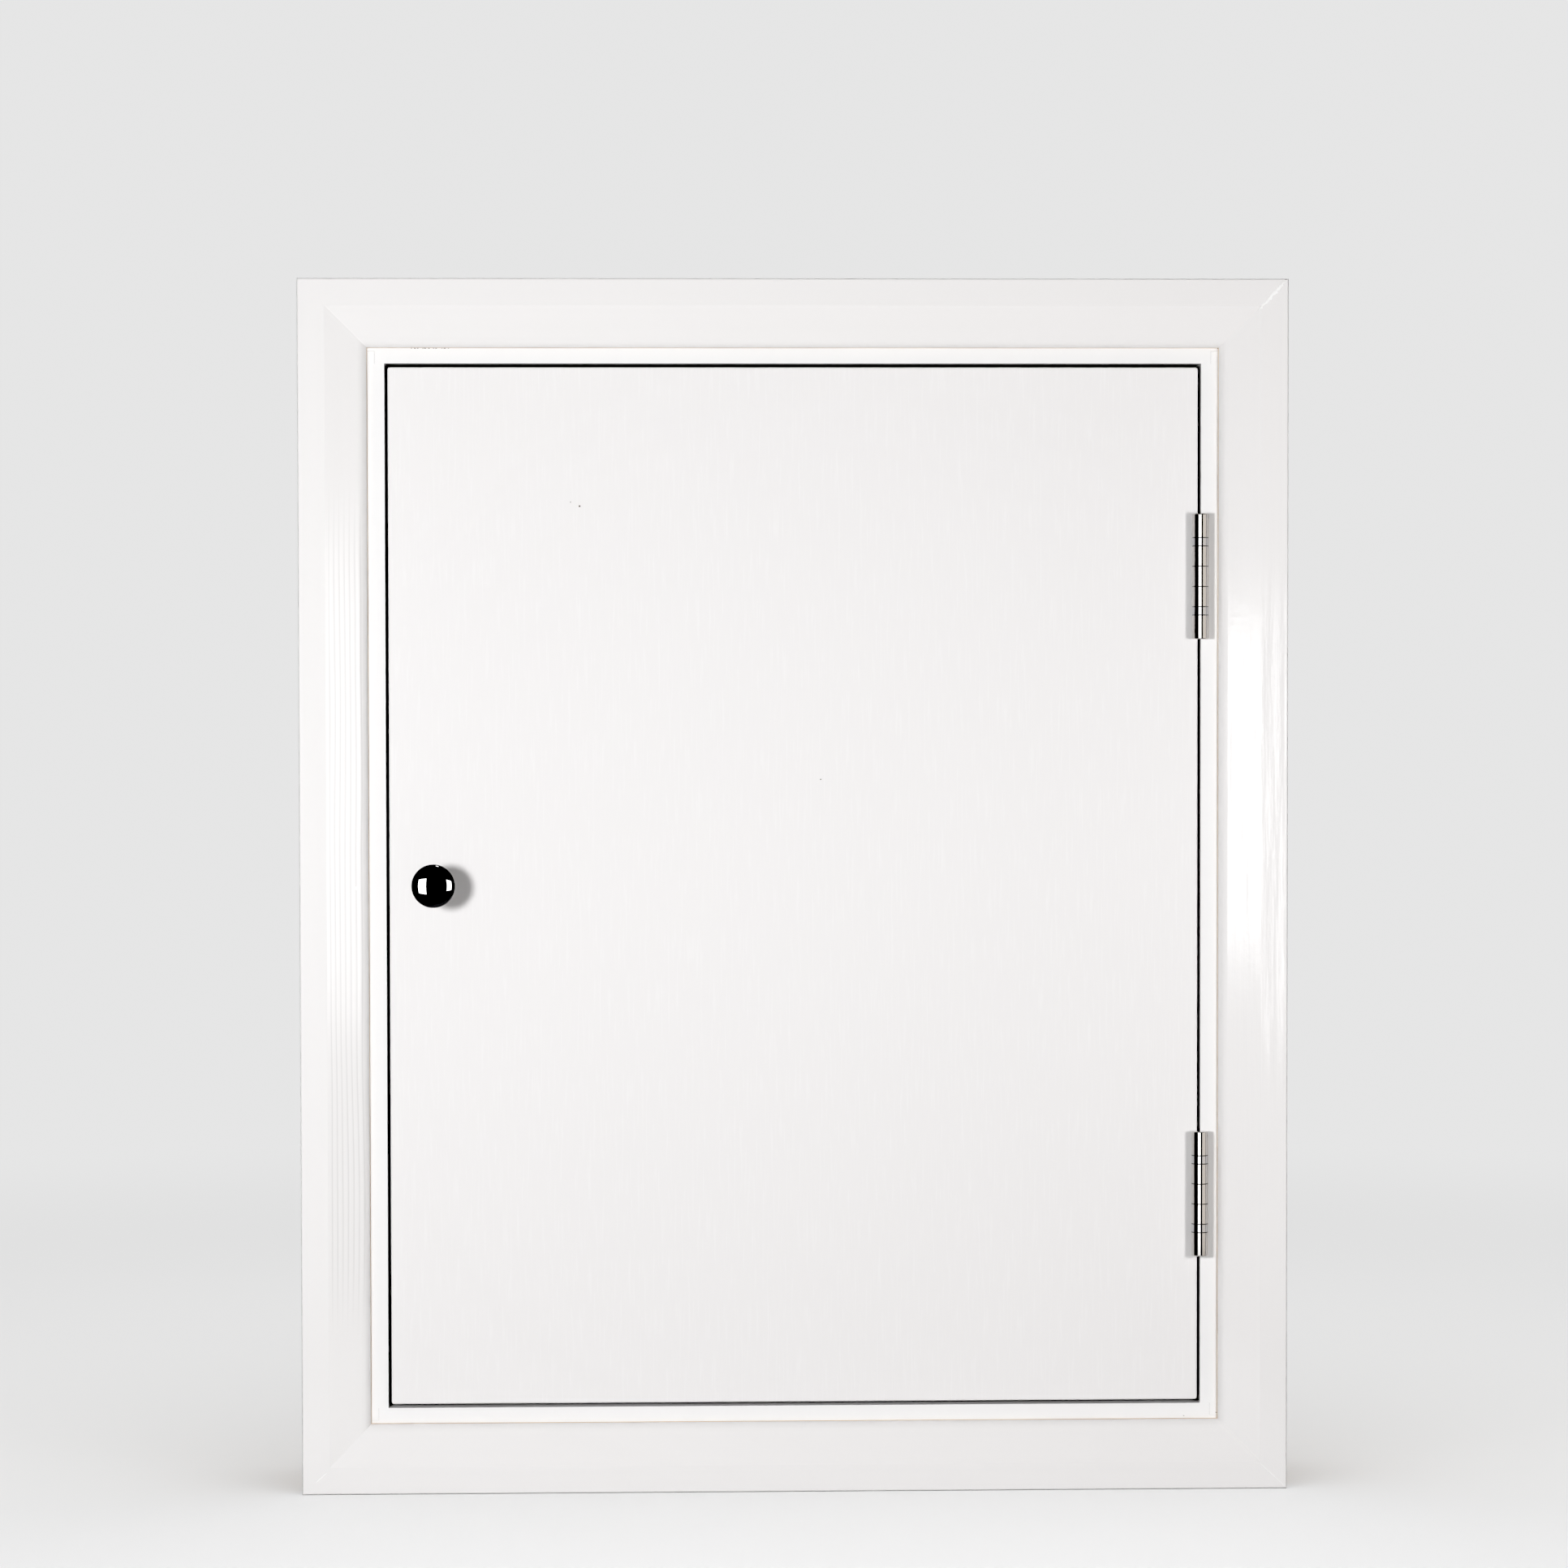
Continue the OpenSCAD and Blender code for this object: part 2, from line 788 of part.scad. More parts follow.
module bearing_races(z) {
    color("lightgray")
        at_bearings(z)
            difference() {
                translate([0, 0, race_floor + race_gap])
                    cylinder(r = skirt_in - race_play, h = race_floor);
                translate([0, 0, -over])
                    cylinder(r = pin_r + pin_play, h = bearing_len + 2 * over);
                ball_groove();
            }
}

module bearing_balls(z) {
    color("white")
        at_bearings(z)
            for (i = [0 : ball_count - 1])
                rotate([0, 0, 360 * i / ball_count])
                    translate([ball_pitch_r, 0, bearing_len / 2])
                        sphere(ball_r, $fn = 24);
}

// Leaf

// The leaf's outer form: corners rounded in elevation, latch edge tapered back, edges eased
module leaf_form() {
    a = leaf_arris;
    intersection() {
        translate([0, leaf_t, leaf_bottom])
            rotate([90, 0, 0])
                linear_extrude(height = leaf_t)
                    difference() {
                        translate([leaf_left, 0])
                            square([leaf_w, leaf_h]);
                        for (x = [0, 1], y = [0, 1])
                            translate([x == 0 ? leaf_left : leaf_right, y * leaf_h])
                                mirror([1 - x, 0])
                                    mirror([0, 1 - y])
                                        corner_waste(leaf_corner_r);
                    }
        translate([0, 0, leaf_bottom - over])
            linear_extrude(height = leaf_h + 2 * over)
                polygon([
                    [leaf_left + a, 0], [leaf_right - a, 0], [leaf_right, a], [leaf_right, leaf_t - a],
                    [leaf_right - a, leaf_t], [leaf_left + latch_bevel + a, leaf_t],
                    [leaf_left + latch_bevel * (leaf_t - a) / leaf_t, leaf_t - a],
                    [leaf_left + latch_bevel * a / leaf_t, a]
                ]);
        translate([leaf_left - over, 0, 0])
            rotate([90, 0, 90])
                linear_extrude(height = leaf_w + 2 * over)
                    polygon([
                        [a, leaf_bottom], [leaf_t - a, leaf_bottom], [leaf_t, leaf_bottom + a],
                        [leaf_t, leaf_top - a], [leaf_t - a, leaf_top], [a, leaf_top],
                        [0, leaf_top - a], [0, leaf_bottom + a]
                    ]);
    }
}

// One layer or strip of the leaf, from its low corner to its high corner
module leaf_piece(low, high, tone) {
    color(tone)
        difference() {
            intersection() {
                leaf_form();
                translate(low)
                    cube(high - low);
            }
            for (z = [upper_hinge_z, lower_hinge_z]) {
                hinge_mortise(z, -1);
                hinge_screw_set(z, -1, screw_play);
            }
            knob_hole();
            keep_screw_set(screw_play);
            insulation_screw_set(screw_play);
        }
}

core_left = leaf_left + lipping_t;
core_right = leaf_right - lipping_t;
core_bottom = leaf_bottom + lipping_t;
core_top = leaf_top - lipping_t;
core_front = facing_t;
core_back = leaf_t - facing_t;

module leaf_core() {
    leaf_piece([core_left, core_front, core_bottom], [core_right, core_back, core_top], "burlywood");
}

module leaf_front_facing() {
    leaf_piece([leaf_left, 0, leaf_bottom], [leaf_right, core_front, leaf_top], "white");
}

module leaf_back_facing() {
    leaf_piece([leaf_left, core_back, leaf_bottom], [leaf_right, leaf_t, leaf_top], "white");
}

module leaf_lipping_top() {
    leaf_piece([core_left, core_front, core_top], [core_right, core_back, leaf_top], "white");
}

module leaf_lipping_bottom() {
    leaf_piece([core_left, core_front, leaf_bottom], [core_right, core_back, core_bottom], "white");
}

module leaf_lipping_left() {
    leaf_piece([leaf_left, core_front, leaf_bottom], [core_left, core_back, leaf_top], "white");
}

module leaf_lipping_right() {
    leaf_piece([core_right, core_front, leaf_bottom], [leaf_right, core_back, leaf_top], "white");
}

// Knob. Its local Z axis points out of the leaf, towards the room.

module at_knob() {
    translate([knob_x, 0, knob_z])
        rotate([90, 0, 0])
            children();
}

module knob_hole() {
    at_knob() {
        translate([0, 0, -leaf_t - over])
            cylinder(r = bolt_r + bolt_play, h = leaf_t + 2 * over);
        translate([0, 0, -leaf_t - over])
            cylinder(r = bolt_washer_r + bolt_play, h = bolt_sink + over);
    }
}

module knob() {
    color("black")
        at_knob()
            difference() {
                union() {
                    cylinder(r = foot_r, h = foot_t);
                    cylinder(r = neck_r, h = -ball_y);
                    rotate_extrude()
                        difference() {
                            square([neck_r + neck_round, foot_t + neck_round]);
                            translate([neck_r + neck_round, foot_t + neck_round])
                                circle(neck_round);
                        }
                    translate([0, 0, -ball_y])
                        sphere(knob_r);
                }
                translate([0, 0, -over])
                    cylinder(r = bolt_r + screw_play, h = bolt_grip + bolt_end_gap + over);
            }
}

module knob_bolt() {
    head_base = bolt_sink - leaf_t - bolt_washer_t;
    color("silver")
        at_knob() {
            translate([0, 0, head_base])
                cylinder(r = bolt_r, h = bolt_grip - head_base);
            translate([0, 0, head_base - bolt_head_h])
                cylinder(r = bolt_head_r, h = bolt_head_h);
        }
}

module knob_washer() {
    color("silver")
        at_knob()
            translate([0, 0, bolt_sink - leaf_t - bolt_washer_t])
                difference() {
                    cylinder(r = bolt_washer_r, h = bolt_washer_t);
                    translate([0, 0, -over])
                        cylinder(r = bolt_r + bolt_play, h = bolt_washer_t + 2 * over);
                }
}

// Catch: a magnet between two steel plates in a moulded body on the latch side's stop

module catch_block(x, width, front, depth, height) {
    translate([x, front, catch_z - height / 2])
        cube([width, depth, height]);
}

module catch_screw_set(play) {
    for (k = [-1, 1])
        translate([catch_x + catch_base_t, catch_y + catch_d / 2, catch_z + k * catch_screw_z])
            rotate([0, 90, 0])
                screw(catch_screw_l, catch_screw_r, catch_head_r, catch_head_h, play);
}

module catch_body() {
    base_y = stop_y + stop_round / 2;
    color("whitesmoke")
        difference() {
            union() {
                catch_block(catch_x, catch_base_t, base_y, catch_y + catch_d - base_y, catch_l);
                catch_block(catch_x, catch_w, catch_y, catch_d, catch_box_l);
            }
            catch_block(stack_x - pocket_play, stack_t + 2 * pocket_play, catch_y - over,
                magnet_d + pocket_play + over, magnet_l + 2 * pocket_play);
            catch_screw_set(screw_play);
        }
}

module catch_magnet() {
    color("dimgray")
        catch_block(stack_x + pole_t, magnet_t, catch_y, magnet_d, magnet_l);
}

module catch_poles() {
    color("silver")
        for (x = [stack_x, stack_x + pole_t + magnet_t])
            catch_block(x, pole_t, catch_y - pole_proud, magnet_d + pole_proud, magnet_l);
}

module catch_screws() {
    color("silver")
        catch_screw_set(0);
}

module keep_screw_set(play) {
    for (k = [-1, 1])
        translate([stack_x + stack_t / 2, leaf_t + keep_t, catch_z + k * keep_screw_z])
            rotate([-90, 0, 0])
                screw(catch_screw_l, catch_screw_r, catch_head_r, catch_head_h, play);
}

module keep_plate() {
    color("silver")
        difference() {
            catch_block(stack_x + (stack_t - keep_w) / 2, keep_w, leaf_t, keep_t, keep_l);
            keep_screw_set(screw_play);
        }
}

module keep_screws() {
    color("silver")
        keep_screw_set(0);
}

// Insulation: a foil faced board cut to pass the stops and the catch, held by screws and washers

module at_board_screws() {
    for (x = board_screw_xs, z = board_screw_zs)
        translate([x, board_back, z])
            rotate([-90, 0, 0])
                children();
}

module insulation_screw_set(play) {
    at_board_screws() {
        translate([0, 0, board_washer_t])
            cylinder(r = board_head_r + play, h = board_head_h);
        translate([0, 0, -board_t - board_screw_grip - play])
            cylinder(r = board_screw_r + play, h = board_t + board_screw_grip + board_washer_t + over);
    }
}

module insulation_board() {
    notch_h = catch_l + 2 * board_notch_gap;
    color("lightgray")
        difference() {
            translate([board_left, leaf_t, board_bottom])
                cube([board_right - board_left, board_t, board_top - board_bottom]);
            translate([board_left - over, leaf_t - over, catch_z - notch_h / 2])
                cube([board_notch - board_left + over, board_t + 2 * over, notch_h]);
            insulation_screw_set(screw_play);
        }
}

module insulation_washers() {
    color("silver")
        at_board_screws()
            difference() {
                cylinder(r = board_washer_r, h = board_washer_t);
                translate([0, 0, -over])
                    cylinder(r = board_screw_r + screw_play, h = board_washer_t + 2 * over);
            }
}

module insulation_screws() {
    color("goldenrod")
        insulation_screw_set(0);
}

architrave(HEAD);  // architrave_head
architrave(SILL);  // architrave_sill
architrave(LEFT);  // architrave_left
architrave(RIGHT);  // architrave_right
architrave_nails();
architrave_fillers();
lining_rail(HEAD);  // lining_head
lining_rail(SILL);  // lining_sill
lining_jamb(LEFT);  // lining_left
lining_jamb(RIGHT);  // lining_right
lining_screws();
stop(HEAD);  // stop_head
stop(SILL);  // stop_sill
stop(LEFT);  // stop_left
stop(RIGHT);  // stop_right
stop_nails();
stop_fillers();
seal(HEAD);  // seal_head
seal(SILL);  // seal_sill
seal(LEFT);  // seal_left
seal(RIGHT);  // seal_right
hinge_plate(upper_hinge_z, 1, FRAME_KNUCKLES);  // upper_hinge_frame_plate
hinge_plate(upper_hinge_z, -1, DOOR_KNUCKLES);  // upper_hinge_door_plate
hinge_pin(upper_hinge_z);  // upper_hinge_pin
hinge_tips(upper_hinge_z);  // upper_hinge_tips
bearing_cups(upper_hinge_z);  // upper_hinge_bearing_cups
bearing_races(upper_hinge_z);  // upper_hinge_bearing_races
bearing_balls(upper_hinge_z);  // upper_hinge_balls
hinge_screws(upper_hinge_z, 1);  // upper_hinge_frame_screws
hinge_screws(upper_hinge_z, -1);  // upper_hinge_door_screws
hinge_plate(lower_hinge_z, 1, FRAME_KNUCKLES);  // lower_hinge_frame_plate
hinge_plate(lower_hinge_z, -1, DOOR_KNUCKLES);  // lower_hinge_door_plate
hinge_pin(lower_hinge_z);  // lower_hinge_pin
hinge_tips(lower_hinge_z);  // lower_hinge_tips
bearing_cups(lower_hinge_z);  // lower_hinge_bearing_cups
bearing_races(lower_hinge_z);  // lower_hinge_bearing_races
bearing_balls(lower_hinge_z);  // lower_hinge_balls
hinge_screws(lower_hinge_z, 1);  // lower_hinge_frame_screws
hinge_screws(lower_hinge_z, -1);  // lower_hinge_door_screws
leaf_core();
leaf_front_facing();
leaf_back_facing();
leaf_lipping_top();
leaf_lipping_bottom();
leaf_lipping_left();
leaf_lipping_right();
knob();
knob_bolt();
knob_washer();
catch_body();
catch_magnet();
catch_poles();
catch_screws();
keep_plate();
keep_screws();
insulation_board();
insulation_washers();
insulation_screws();
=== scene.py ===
"""Eaves access door: paint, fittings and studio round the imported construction.

Metres. The face of the wall is the plane Y = 0, the room lies towards -Y and Z points up.
"""
import logging
import math
import random
from dataclasses import dataclass, field
from enum import Enum
from typing import Any, Iterable, Sequence, Union

import bmesh
import bpy
from mathutils import Matrix, Vector


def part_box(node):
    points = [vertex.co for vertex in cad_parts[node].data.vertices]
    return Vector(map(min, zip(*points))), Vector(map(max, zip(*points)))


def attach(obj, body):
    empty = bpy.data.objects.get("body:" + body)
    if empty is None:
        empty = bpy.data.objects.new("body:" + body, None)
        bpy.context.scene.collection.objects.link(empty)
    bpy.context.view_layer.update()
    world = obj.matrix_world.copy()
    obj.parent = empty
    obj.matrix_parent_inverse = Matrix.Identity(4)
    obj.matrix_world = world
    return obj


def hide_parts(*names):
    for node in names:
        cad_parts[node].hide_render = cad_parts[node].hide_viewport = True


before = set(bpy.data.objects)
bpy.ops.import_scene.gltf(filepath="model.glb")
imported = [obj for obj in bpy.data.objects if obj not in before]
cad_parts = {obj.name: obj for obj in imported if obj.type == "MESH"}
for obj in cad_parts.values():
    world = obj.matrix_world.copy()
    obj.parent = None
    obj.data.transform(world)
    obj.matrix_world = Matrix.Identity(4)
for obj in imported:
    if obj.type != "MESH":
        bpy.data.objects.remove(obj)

MM = 0.001
LOG = logging.getLogger("eaves_door")
Tone = tuple[float, float, float]
Bound = tuple[float | None, float | None, float | None]
Value = Union[float, "Sock"]
OPEN: Bound = (None, None, None)


class Run(Enum):
    """Which way the timber runs, and the brush that painted it."""

    UPRIGHT = "upright"
    LEVEL = "level"


class Link(Enum):
    """Whether a light reaches only the listed pieces, or all but those."""

    ONLY = "INCLUDE"
    ALL_BUT = "EXCLUDE"


class Head(Enum):
    """How a screw's head is shaped, and its flat top's share of its radius."""

    COUNTERSUNK = 0.93
    PAN = 0.55


class Sock:
    """One output of a shader node. Arithmetic on it adds Math nodes."""

    def __init__(self, shader: "Shader", socket: bpy.types.NodeSocket) -> None:
        """Keeps the socket and the shader that it belongs to."""
        self.shader = shader
        self.socket = socket

    def math(self, operation: str, *values: Value) -> "Sock":
        """Adds one Math node on the given values."""
        return self.shader.node("ShaderNodeMath", {"operation": operation}, dict(enumerate(values)))

    def __add__(self, other: Value) -> "Sock":
        """Sum."""
        return self.math("ADD", self, other)

    def __sub__(self, other: Value) -> "Sock":
        """Difference."""
        return self.math("SUBTRACT", self, other)

    def __rsub__(self, other: Value) -> "Sock":
        """Difference from a plain number."""
        return self.math("SUBTRACT", other, self)

    def __mul__(self, other: Value) -> "Sock":
        """Product."""
        return self.math("MULTIPLY", self, other)

    def __gt__(self, other: Value) -> "Sock":
        """One where this is greater, else zero."""
        return self.math("GREATER_THAN", self, other)

    def __lt__(self, other: Value) -> "Sock":
        """One where this is less, else zero."""
        return self.math("LESS_THAN", self, other)

    __radd__ = __add__
    __rmul__ = __mul__

    def sine(self) -> "Sock":
        """Sine of this value in radians."""
        return self.math("SINE", self)

    def root(self) -> "Sock":
        """Square root of this value."""
        return self.math("SQRT", self)

    def most(self, other: Value) -> "Sock":
        """The larger of the two."""
        return self.math("MAXIMUM", self, other)

    def least(self, other: Value) -> "Sock":
        """The smaller of the two."""
        return self.math("MINIMUM", self, other)

    def away(self, other: Value) -> "Sock":
        """Distance from another value."""
        return self.math("ABSOLUTE", self - other)

    def rise(self, low: float, high: float) -> "Sock":
        """Smooth step.

        Args:
            low: Value at and below which the result is 0.
            high: Value at and above which the result is 1.

        Returns:
            The step.
        """
        settings = {"interpolation_type": "SMOOTHSTEP"}
        return self.shader.node("ShaderNodeMapRange", settings, {0: self, 1: low, 2: high})

    def axes(self) -> tuple["Sock", "Sock", "Sock"]:
        """The X, Y and Z of this vector."""
        split = self.shader.node("ShaderNodeSeparateXYZ", {}, {0: self}).socket.node
        return tuple(Sock(self.shader, split.outputs[axis]) for axis in range(3))


class Shader:
    """A new material or world, and the nodes that make it."""

    def __init__(self, name: str, kind: str = "materials") -> None:
        """Starts an empty node tree in a new data block.

        Args:
            name: Name of the material or the world.
            kind: The list of bpy.data that it goes in.
        """
        self.block = getattr(bpy.data, kind).new(name)
        self.block.use_nodes = True
        self.tree = self.block.node_tree
        self.tree.nodes.clear()
        self.where = self.node("ShaderNodeTexCoord", {}, {}, "Object")

    def node(
        self, kind: str, settings: dict[str, Any], inputs: dict[Any, Any], output: Any = 0
    ) -> Sock:
        """Adds one node.

        Args:
            kind: Blender's name for the node type.
            settings: Attributes, which are set first.
            inputs: Values or sockets by input name or number.
            output: Name or number of the output to return.

        Returns:
            That output.
        """
        made = self.tree.nodes.new(kind)
        for key, value in settings.items():
            setattr(made, key, value)
        for key, value in inputs.items():
            if isinstance(value, Sock):
                self.tree.links.new(value.socket, made.inputs[key])
            else:
                made.inputs[key].default_value = value
        return Sock(self, made.outputs[output])

    def scaled(self, scale: Sequence[float]) -> Sock:
        """Object coordinates, scaled."""
        return self.node("ShaderNodeMapping", {}, {"Vector": self.where, "Scale": tuple(scale)})

    def noise(self, scale: Sequence[float], detail: float = 3.0, rough: float = 0.55) -> Sock:
        """Fractal noise.

        Args:
            scale: Features to the metre along each axis.
            detail: Number of finer layers.
            rough: Strength of each finer layer against the last.

        Returns:
            The noise, from 0 to 1.
        """
        inputs = {"Vector": self.scaled(scale), "Scale": 1.0, "Detail": detail, "Roughness": rough}
        return self.node("ShaderNodeTexNoise", {}, inputs)

    def cells(self, scale: Sequence[float]) -> Sock:
        """Distance to the nearest of scattered points."""
        return self.node("ShaderNodeTexVoronoi", {}, {"Vector": self.scaled(scale), "Scale": 1.0})

    def mix(self, share: Value, low: Any, high: Any) -> Sock:
        """Mixes two colours.

        Args:
            share: How much of the second colour shows.
            low: First colour.
            high: Second colour.

        Returns:
            The mixed colour.
        """
        inputs = {0: share, 6: rgba(low), 7: rgba(high)}
        return self.node("ShaderNodeMix", {"data_type": "RGBA"}, inputs, 2)

    def bump(self, height: Sock, depth: float, under: Sock | None = None) -> Sock:
        """A bumped normal.

        Args:
            height: Relief from 0 to 1.
            depth: Depth of the whole relief in metres.
            under: Normal of the coarser relief below.

        Returns:
            The normal.
        """
        inputs = {"Height": height, "Distance": depth}
        if under is not None:
            inputs["Normal"] = under
        return self.node("ShaderNodeBump", {}, inputs)

    def inside(self, low: Bound, high: Bound) -> Value:
        """Marks the inside of a box.

        Args:
            low: Lowest corner, with None where the box is open.
            high: Highest corner, with None where the box is open.

        Returns:
            One inside and zero outside, or the number 1 where the box is open all round.
        """
        mask: Value = 1.0
        for value, start, end in zip(self.where.axes(), low, high):
            if start is not None:
                mask = (value > start) * mask
            if end is not None:
                mask = (value < end) * mask
        return mask

    def shown(self, surface: Sock, kind: str = "ShaderNodeOutputMaterial") -> Any:
        """Joins a surface to the output.

        Args:
            surface: The surface's shader.
            kind: Blender's name for the output node.

        Returns:
            The finished data block.
        """
        output = self.tree.nodes.new(kind)
        self.tree.links.new(surface.socket, output.inputs["Surface"])
        return self.block

    def finish(self, base: Any, roughness: Value, **more: Any) -> bpy.types.Material:
        """Joins everything in one Principled shader.

        Args:
            base: Base colour.
            roughness: Roughness.
            **more: Other sockets, with underscores for the blanks in their names.

        Returns:
            The finished material.
        """
        inputs = {key.replace("_", " "): value for key, value in more.items()}
        inputs |= {"Base Color": rgba(base), "Roughness": roughness}
        return self.shown(self.node("ShaderNodeBsdfPrincipled", {}, inputs))


def middle_of(node: str) -> Vector:
    """The middle of a node's box."""
    low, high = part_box(node)
    return (low + high) / 2


def rgba(tone: Any) -> Any:
    """A plain colour with its alpha, or a socket as it is."""
    return tone if isinstance(tone, Sock) else (*tone, 1.0)


def shade(tone: Tone, factor: float) -> Tone:
    """A colour made darker or lighter."""
    return tuple(factor * c for c in tone)


def along(run: Run, lengthwise: float, crosswise: float) -> tuple[float, float, float]:
    """A noise scale with its long features the way the timber runs.

    Args:
        run: Which way that is.
        lengthwise: Features to the metre that way.
        crosswise: Features to the metre across.

    Returns:
        The scale along X, Y and Z.
    """
    if run is Run.UPRIGHT:
        return (crosswise, crosswise, lengthwise)
    return (lengthwise, crosswise, crosswise)


@dataclass(frozen=True)
class Pine:
    """Bare planed softwood."""

    run: Run
    early: Tone = (0.78, 0.60, 0.39)
    late: Tone = (0.56, 0.36, 0.19)
    bands: float = 70
    roughness: float = 0.62

    def colour(self, shader: Shader) -> Sock:
        """Long wavering bands of early and late wood.

        Args:
            shader: The shader that they are added to.

        Returns:
            Their colour.
        """
        sweep = shader.noise(along(self.run, 1.2, 16), 2.0)
        late = ((sweep * self.bands).sine() * 0.5 + 0.5).rise(0.35, 1.0) * 0.8
        fibre = shader.noise(along(self.run, 30, 1500), 4.0) * 0.35
        return shader.mix(fibre, shader.mix(late, self.early, self.late), self.late)


@dataclass(frozen=True)
class Marks:
    """One layer of long marks in a surface."""

    lengthwise: float
    crosswise: float
    depth: float
    detail: float = 3.0

    def over(self, shader: Shader, run: Run, under: Sock | None) -> Sock:
        """The normal with these marks on it."""
        relief = shader.noise(along(run, self.lengthwise, self.crosswise), self.detail)
        return shader.bump(relief, self.depth, under)


@dataclass(frozen=True)
class Rings:
    """Growth rings that show through paint as fine wavering grooves."""

    inner: float
    top: float
    foot: float
    pitch: float = 4.2 * MM
    depth: float = 0.05 * MM
    waver: float = 8
    edge: float = 0.35
    fade: float = 90 * MM

    def grooves(self, shader: Shader) -> Sock:
        """Marks the grooves, which fade out towards the top and the foot.

        Args:
            shader: The shader that they are added to.

        Returns:
            One in the grooves and zero beside them.
        """
        x, _, z = shader.where.axes()
        drift = shader.noise(along(Run.UPRIGHT, 5, 24), 1.0) * self.waver
        lines = (x * (2 * math.pi / self.pitch) + drift).sine().rise(self.edge, 1.0)
        ends = (1 - z.rise(self.top - self.fade, self.top)) * z.rise(self.foot, self.foot + self.fade)
        return lines * ends * (x > self.inner)


@dataclass(frozen=True)
class Speck:
    """A fleck of dirt in the paint."""

    x: float
    z: float
    radius: float
    tone: Tone = (0.10, 0.08, 0.06)

    def over(self, shader: Shader, base: Any) -> Sock:
        """Lays the fleck on a colour.

        Args:
            shader: The shader that it is added to.
            base: The colour under it.

        Returns:
            The colour with the fleck on it.
        """
        x, _, z = shader.where.axes()
        away = ((x - self.x) * (x - self.x) + (z - self.z) * (z - self.z)).root()
        return shader.mix(1 - away.rise(0.6 * self.radius, self.radius), base, self.tone)


BRUSH = Marks(9, 620, 0.030 * MM, 4.0)
GLOSS_BRUSH = Marks(6, 420, 0.022 * MM, 4.0)


@dataclass(frozen=True)
class Paint:
    """White paint brushed over timber, with the bare timber where it stops."""

    name: str
    run: Run
    tone: Tone = (0.878, 0.866, 0.864)
    roughness: float = 0.09
    # Share of white in the light streaks, which are painted highlights.
    streaks: float = 0.0
    marks: Sequence[Marks] = (GLOSS_BRUSH,)
    rings: Rings | None = None
    specks: Sequence[Speck] = ()
    peel: float = 0.03 * MM
    sway: float = 0.06
    cloud: float = 0.97
    # Share of the paint's tone in the ring grooves, which are drawn darker as painted shade.
    groove_shade: float = 0.9
    glint_strokes: tuple[float, float] = (0.5, 0.72)
    low: Bound = OPEN
    high: Bound = OPEN

    def build(self) -> bpy.types.Material:
        """Makes the material.

        Returns:
            The material.
        """
        shader = Shader(self.name)
        clouds = shader.noise((3, 3, 3), 2.0) * 0.6
        white: Any = shader.mix(clouds, self.tone, shade(self.tone, self.cloud))
        if self.rings:
            # Painted shade: the ring grooves are drawn darker in the colour.
            white = shader.mix(self.rings.grooves(shader), white, shade(self.tone, self.groove_shade))
        # Painted highlights: short light streaks in the colour, where brush marks catch the light.
        if self.streaks:
            glint_strokes = shader.noise(along(self.run, 26, 560), 3.0).rise(*self.glint_strokes)
            white = shader.mix(glint_strokes * self.streaks, white, (1.0, 1.0, 1.0))
        for speck in self.specks:
            white = speck.over(shader, white)
        rough: Value = shader.noise(along(self.run, 12, 240)) * self.sway
        rough = rough + (self.roughness - self.sway / 2)
        painted = shader.inside(self.low, self.high)
        if isinstance(painted, Sock):
            pine = Pine(self.run)
            white = shader.mix(painted, pine.colour(shader), white)
            rough = painted * rough + (1 - painted) * pine.roughness
        return shader.finish(white, rough, Normal=self._relief(shader))

    def _relief(self, shader: Shader) -> Sock:
        """Lays ripples, brush marks, growth rings and peel one over the other.

        Args:
            shader: The shader that they are added to.

        Returns:
            The normal.
        """
        normal = None
        for marks in self.marks:
            normal = marks.over(shader, self.run, normal)
        if self.rings:
            normal = shader.bump(1 - self.rings.grooves(shader), self.rings.depth, normal)
        return shader.bump(shader.noise((260, 260, 260), 2.0), self.peel, normal)


@dataclass(frozen=True)
class Steel:
    """Polished steel with fine polishing marks, faint smears, and painted shade as dark lines at the
    barrel's joints.
    """

    name: str
    tone: Tone = (0.64, 0.625, 0.61)
    joint_shade: Tone = (0.03, 0.028, 0.025)
    roughness: float = 0.07
    marks: Marks = Marks(40, 2600, 0.004 * MM, 4.0)
    joints: Sequence[float] = (8.2 * MM, 24.6 * MM, 31.4 * MM)
    joint_half: float = 0.45 * MM
    proud: float = 0.5 * MM

    def build(self) -> bpy.types.Material:
        """Makes the material.

        Returns:
            The material.
        """
        shader = Shader(self.name)
        smears = shader.noise((110, 110, 60))
        tone = shader.mix(smears * 0.35, self.tone, shade(self.tone, 0.86))
        # Painted shade: the shade in the gaps between the knuckles is drawn as dark lines in the colour.
        tone = shader.mix(self._joints(shader), tone, self.joint_shade)
        rough = smears.rise(0.35, 0.8) * 0.06 + self.roughness
        normal = self.marks.over(shader, Run.UPRIGHT, None)
        return shader.finish(tone, rough, Metallic=1.0, Normal=normal)

    def _joints(self, shader: Shader) -> Sock:
        """Marks the joints between the knuckles and the bearing rings, where the gaps' shade is painted.

        Args:
            shader: The shader that the steel is made in.

        Returns:
            One at a joint of the barrel, and zero elsewhere.
        """
        _, y, z = shader.where.axes()
        upper, lower = (middle_of(f"{hinge}_hinge_pin").z for hinge in ("upper", "lower"))
        rise = z.away(upper).least(z.away(lower))
        near: Value = 1.0
        for joint in self.joints:
            near = rise.away(joint).rise(0.4 * self.joint_half, self.joint_half) * near
        return (1 - near) * (y < -self.proud)


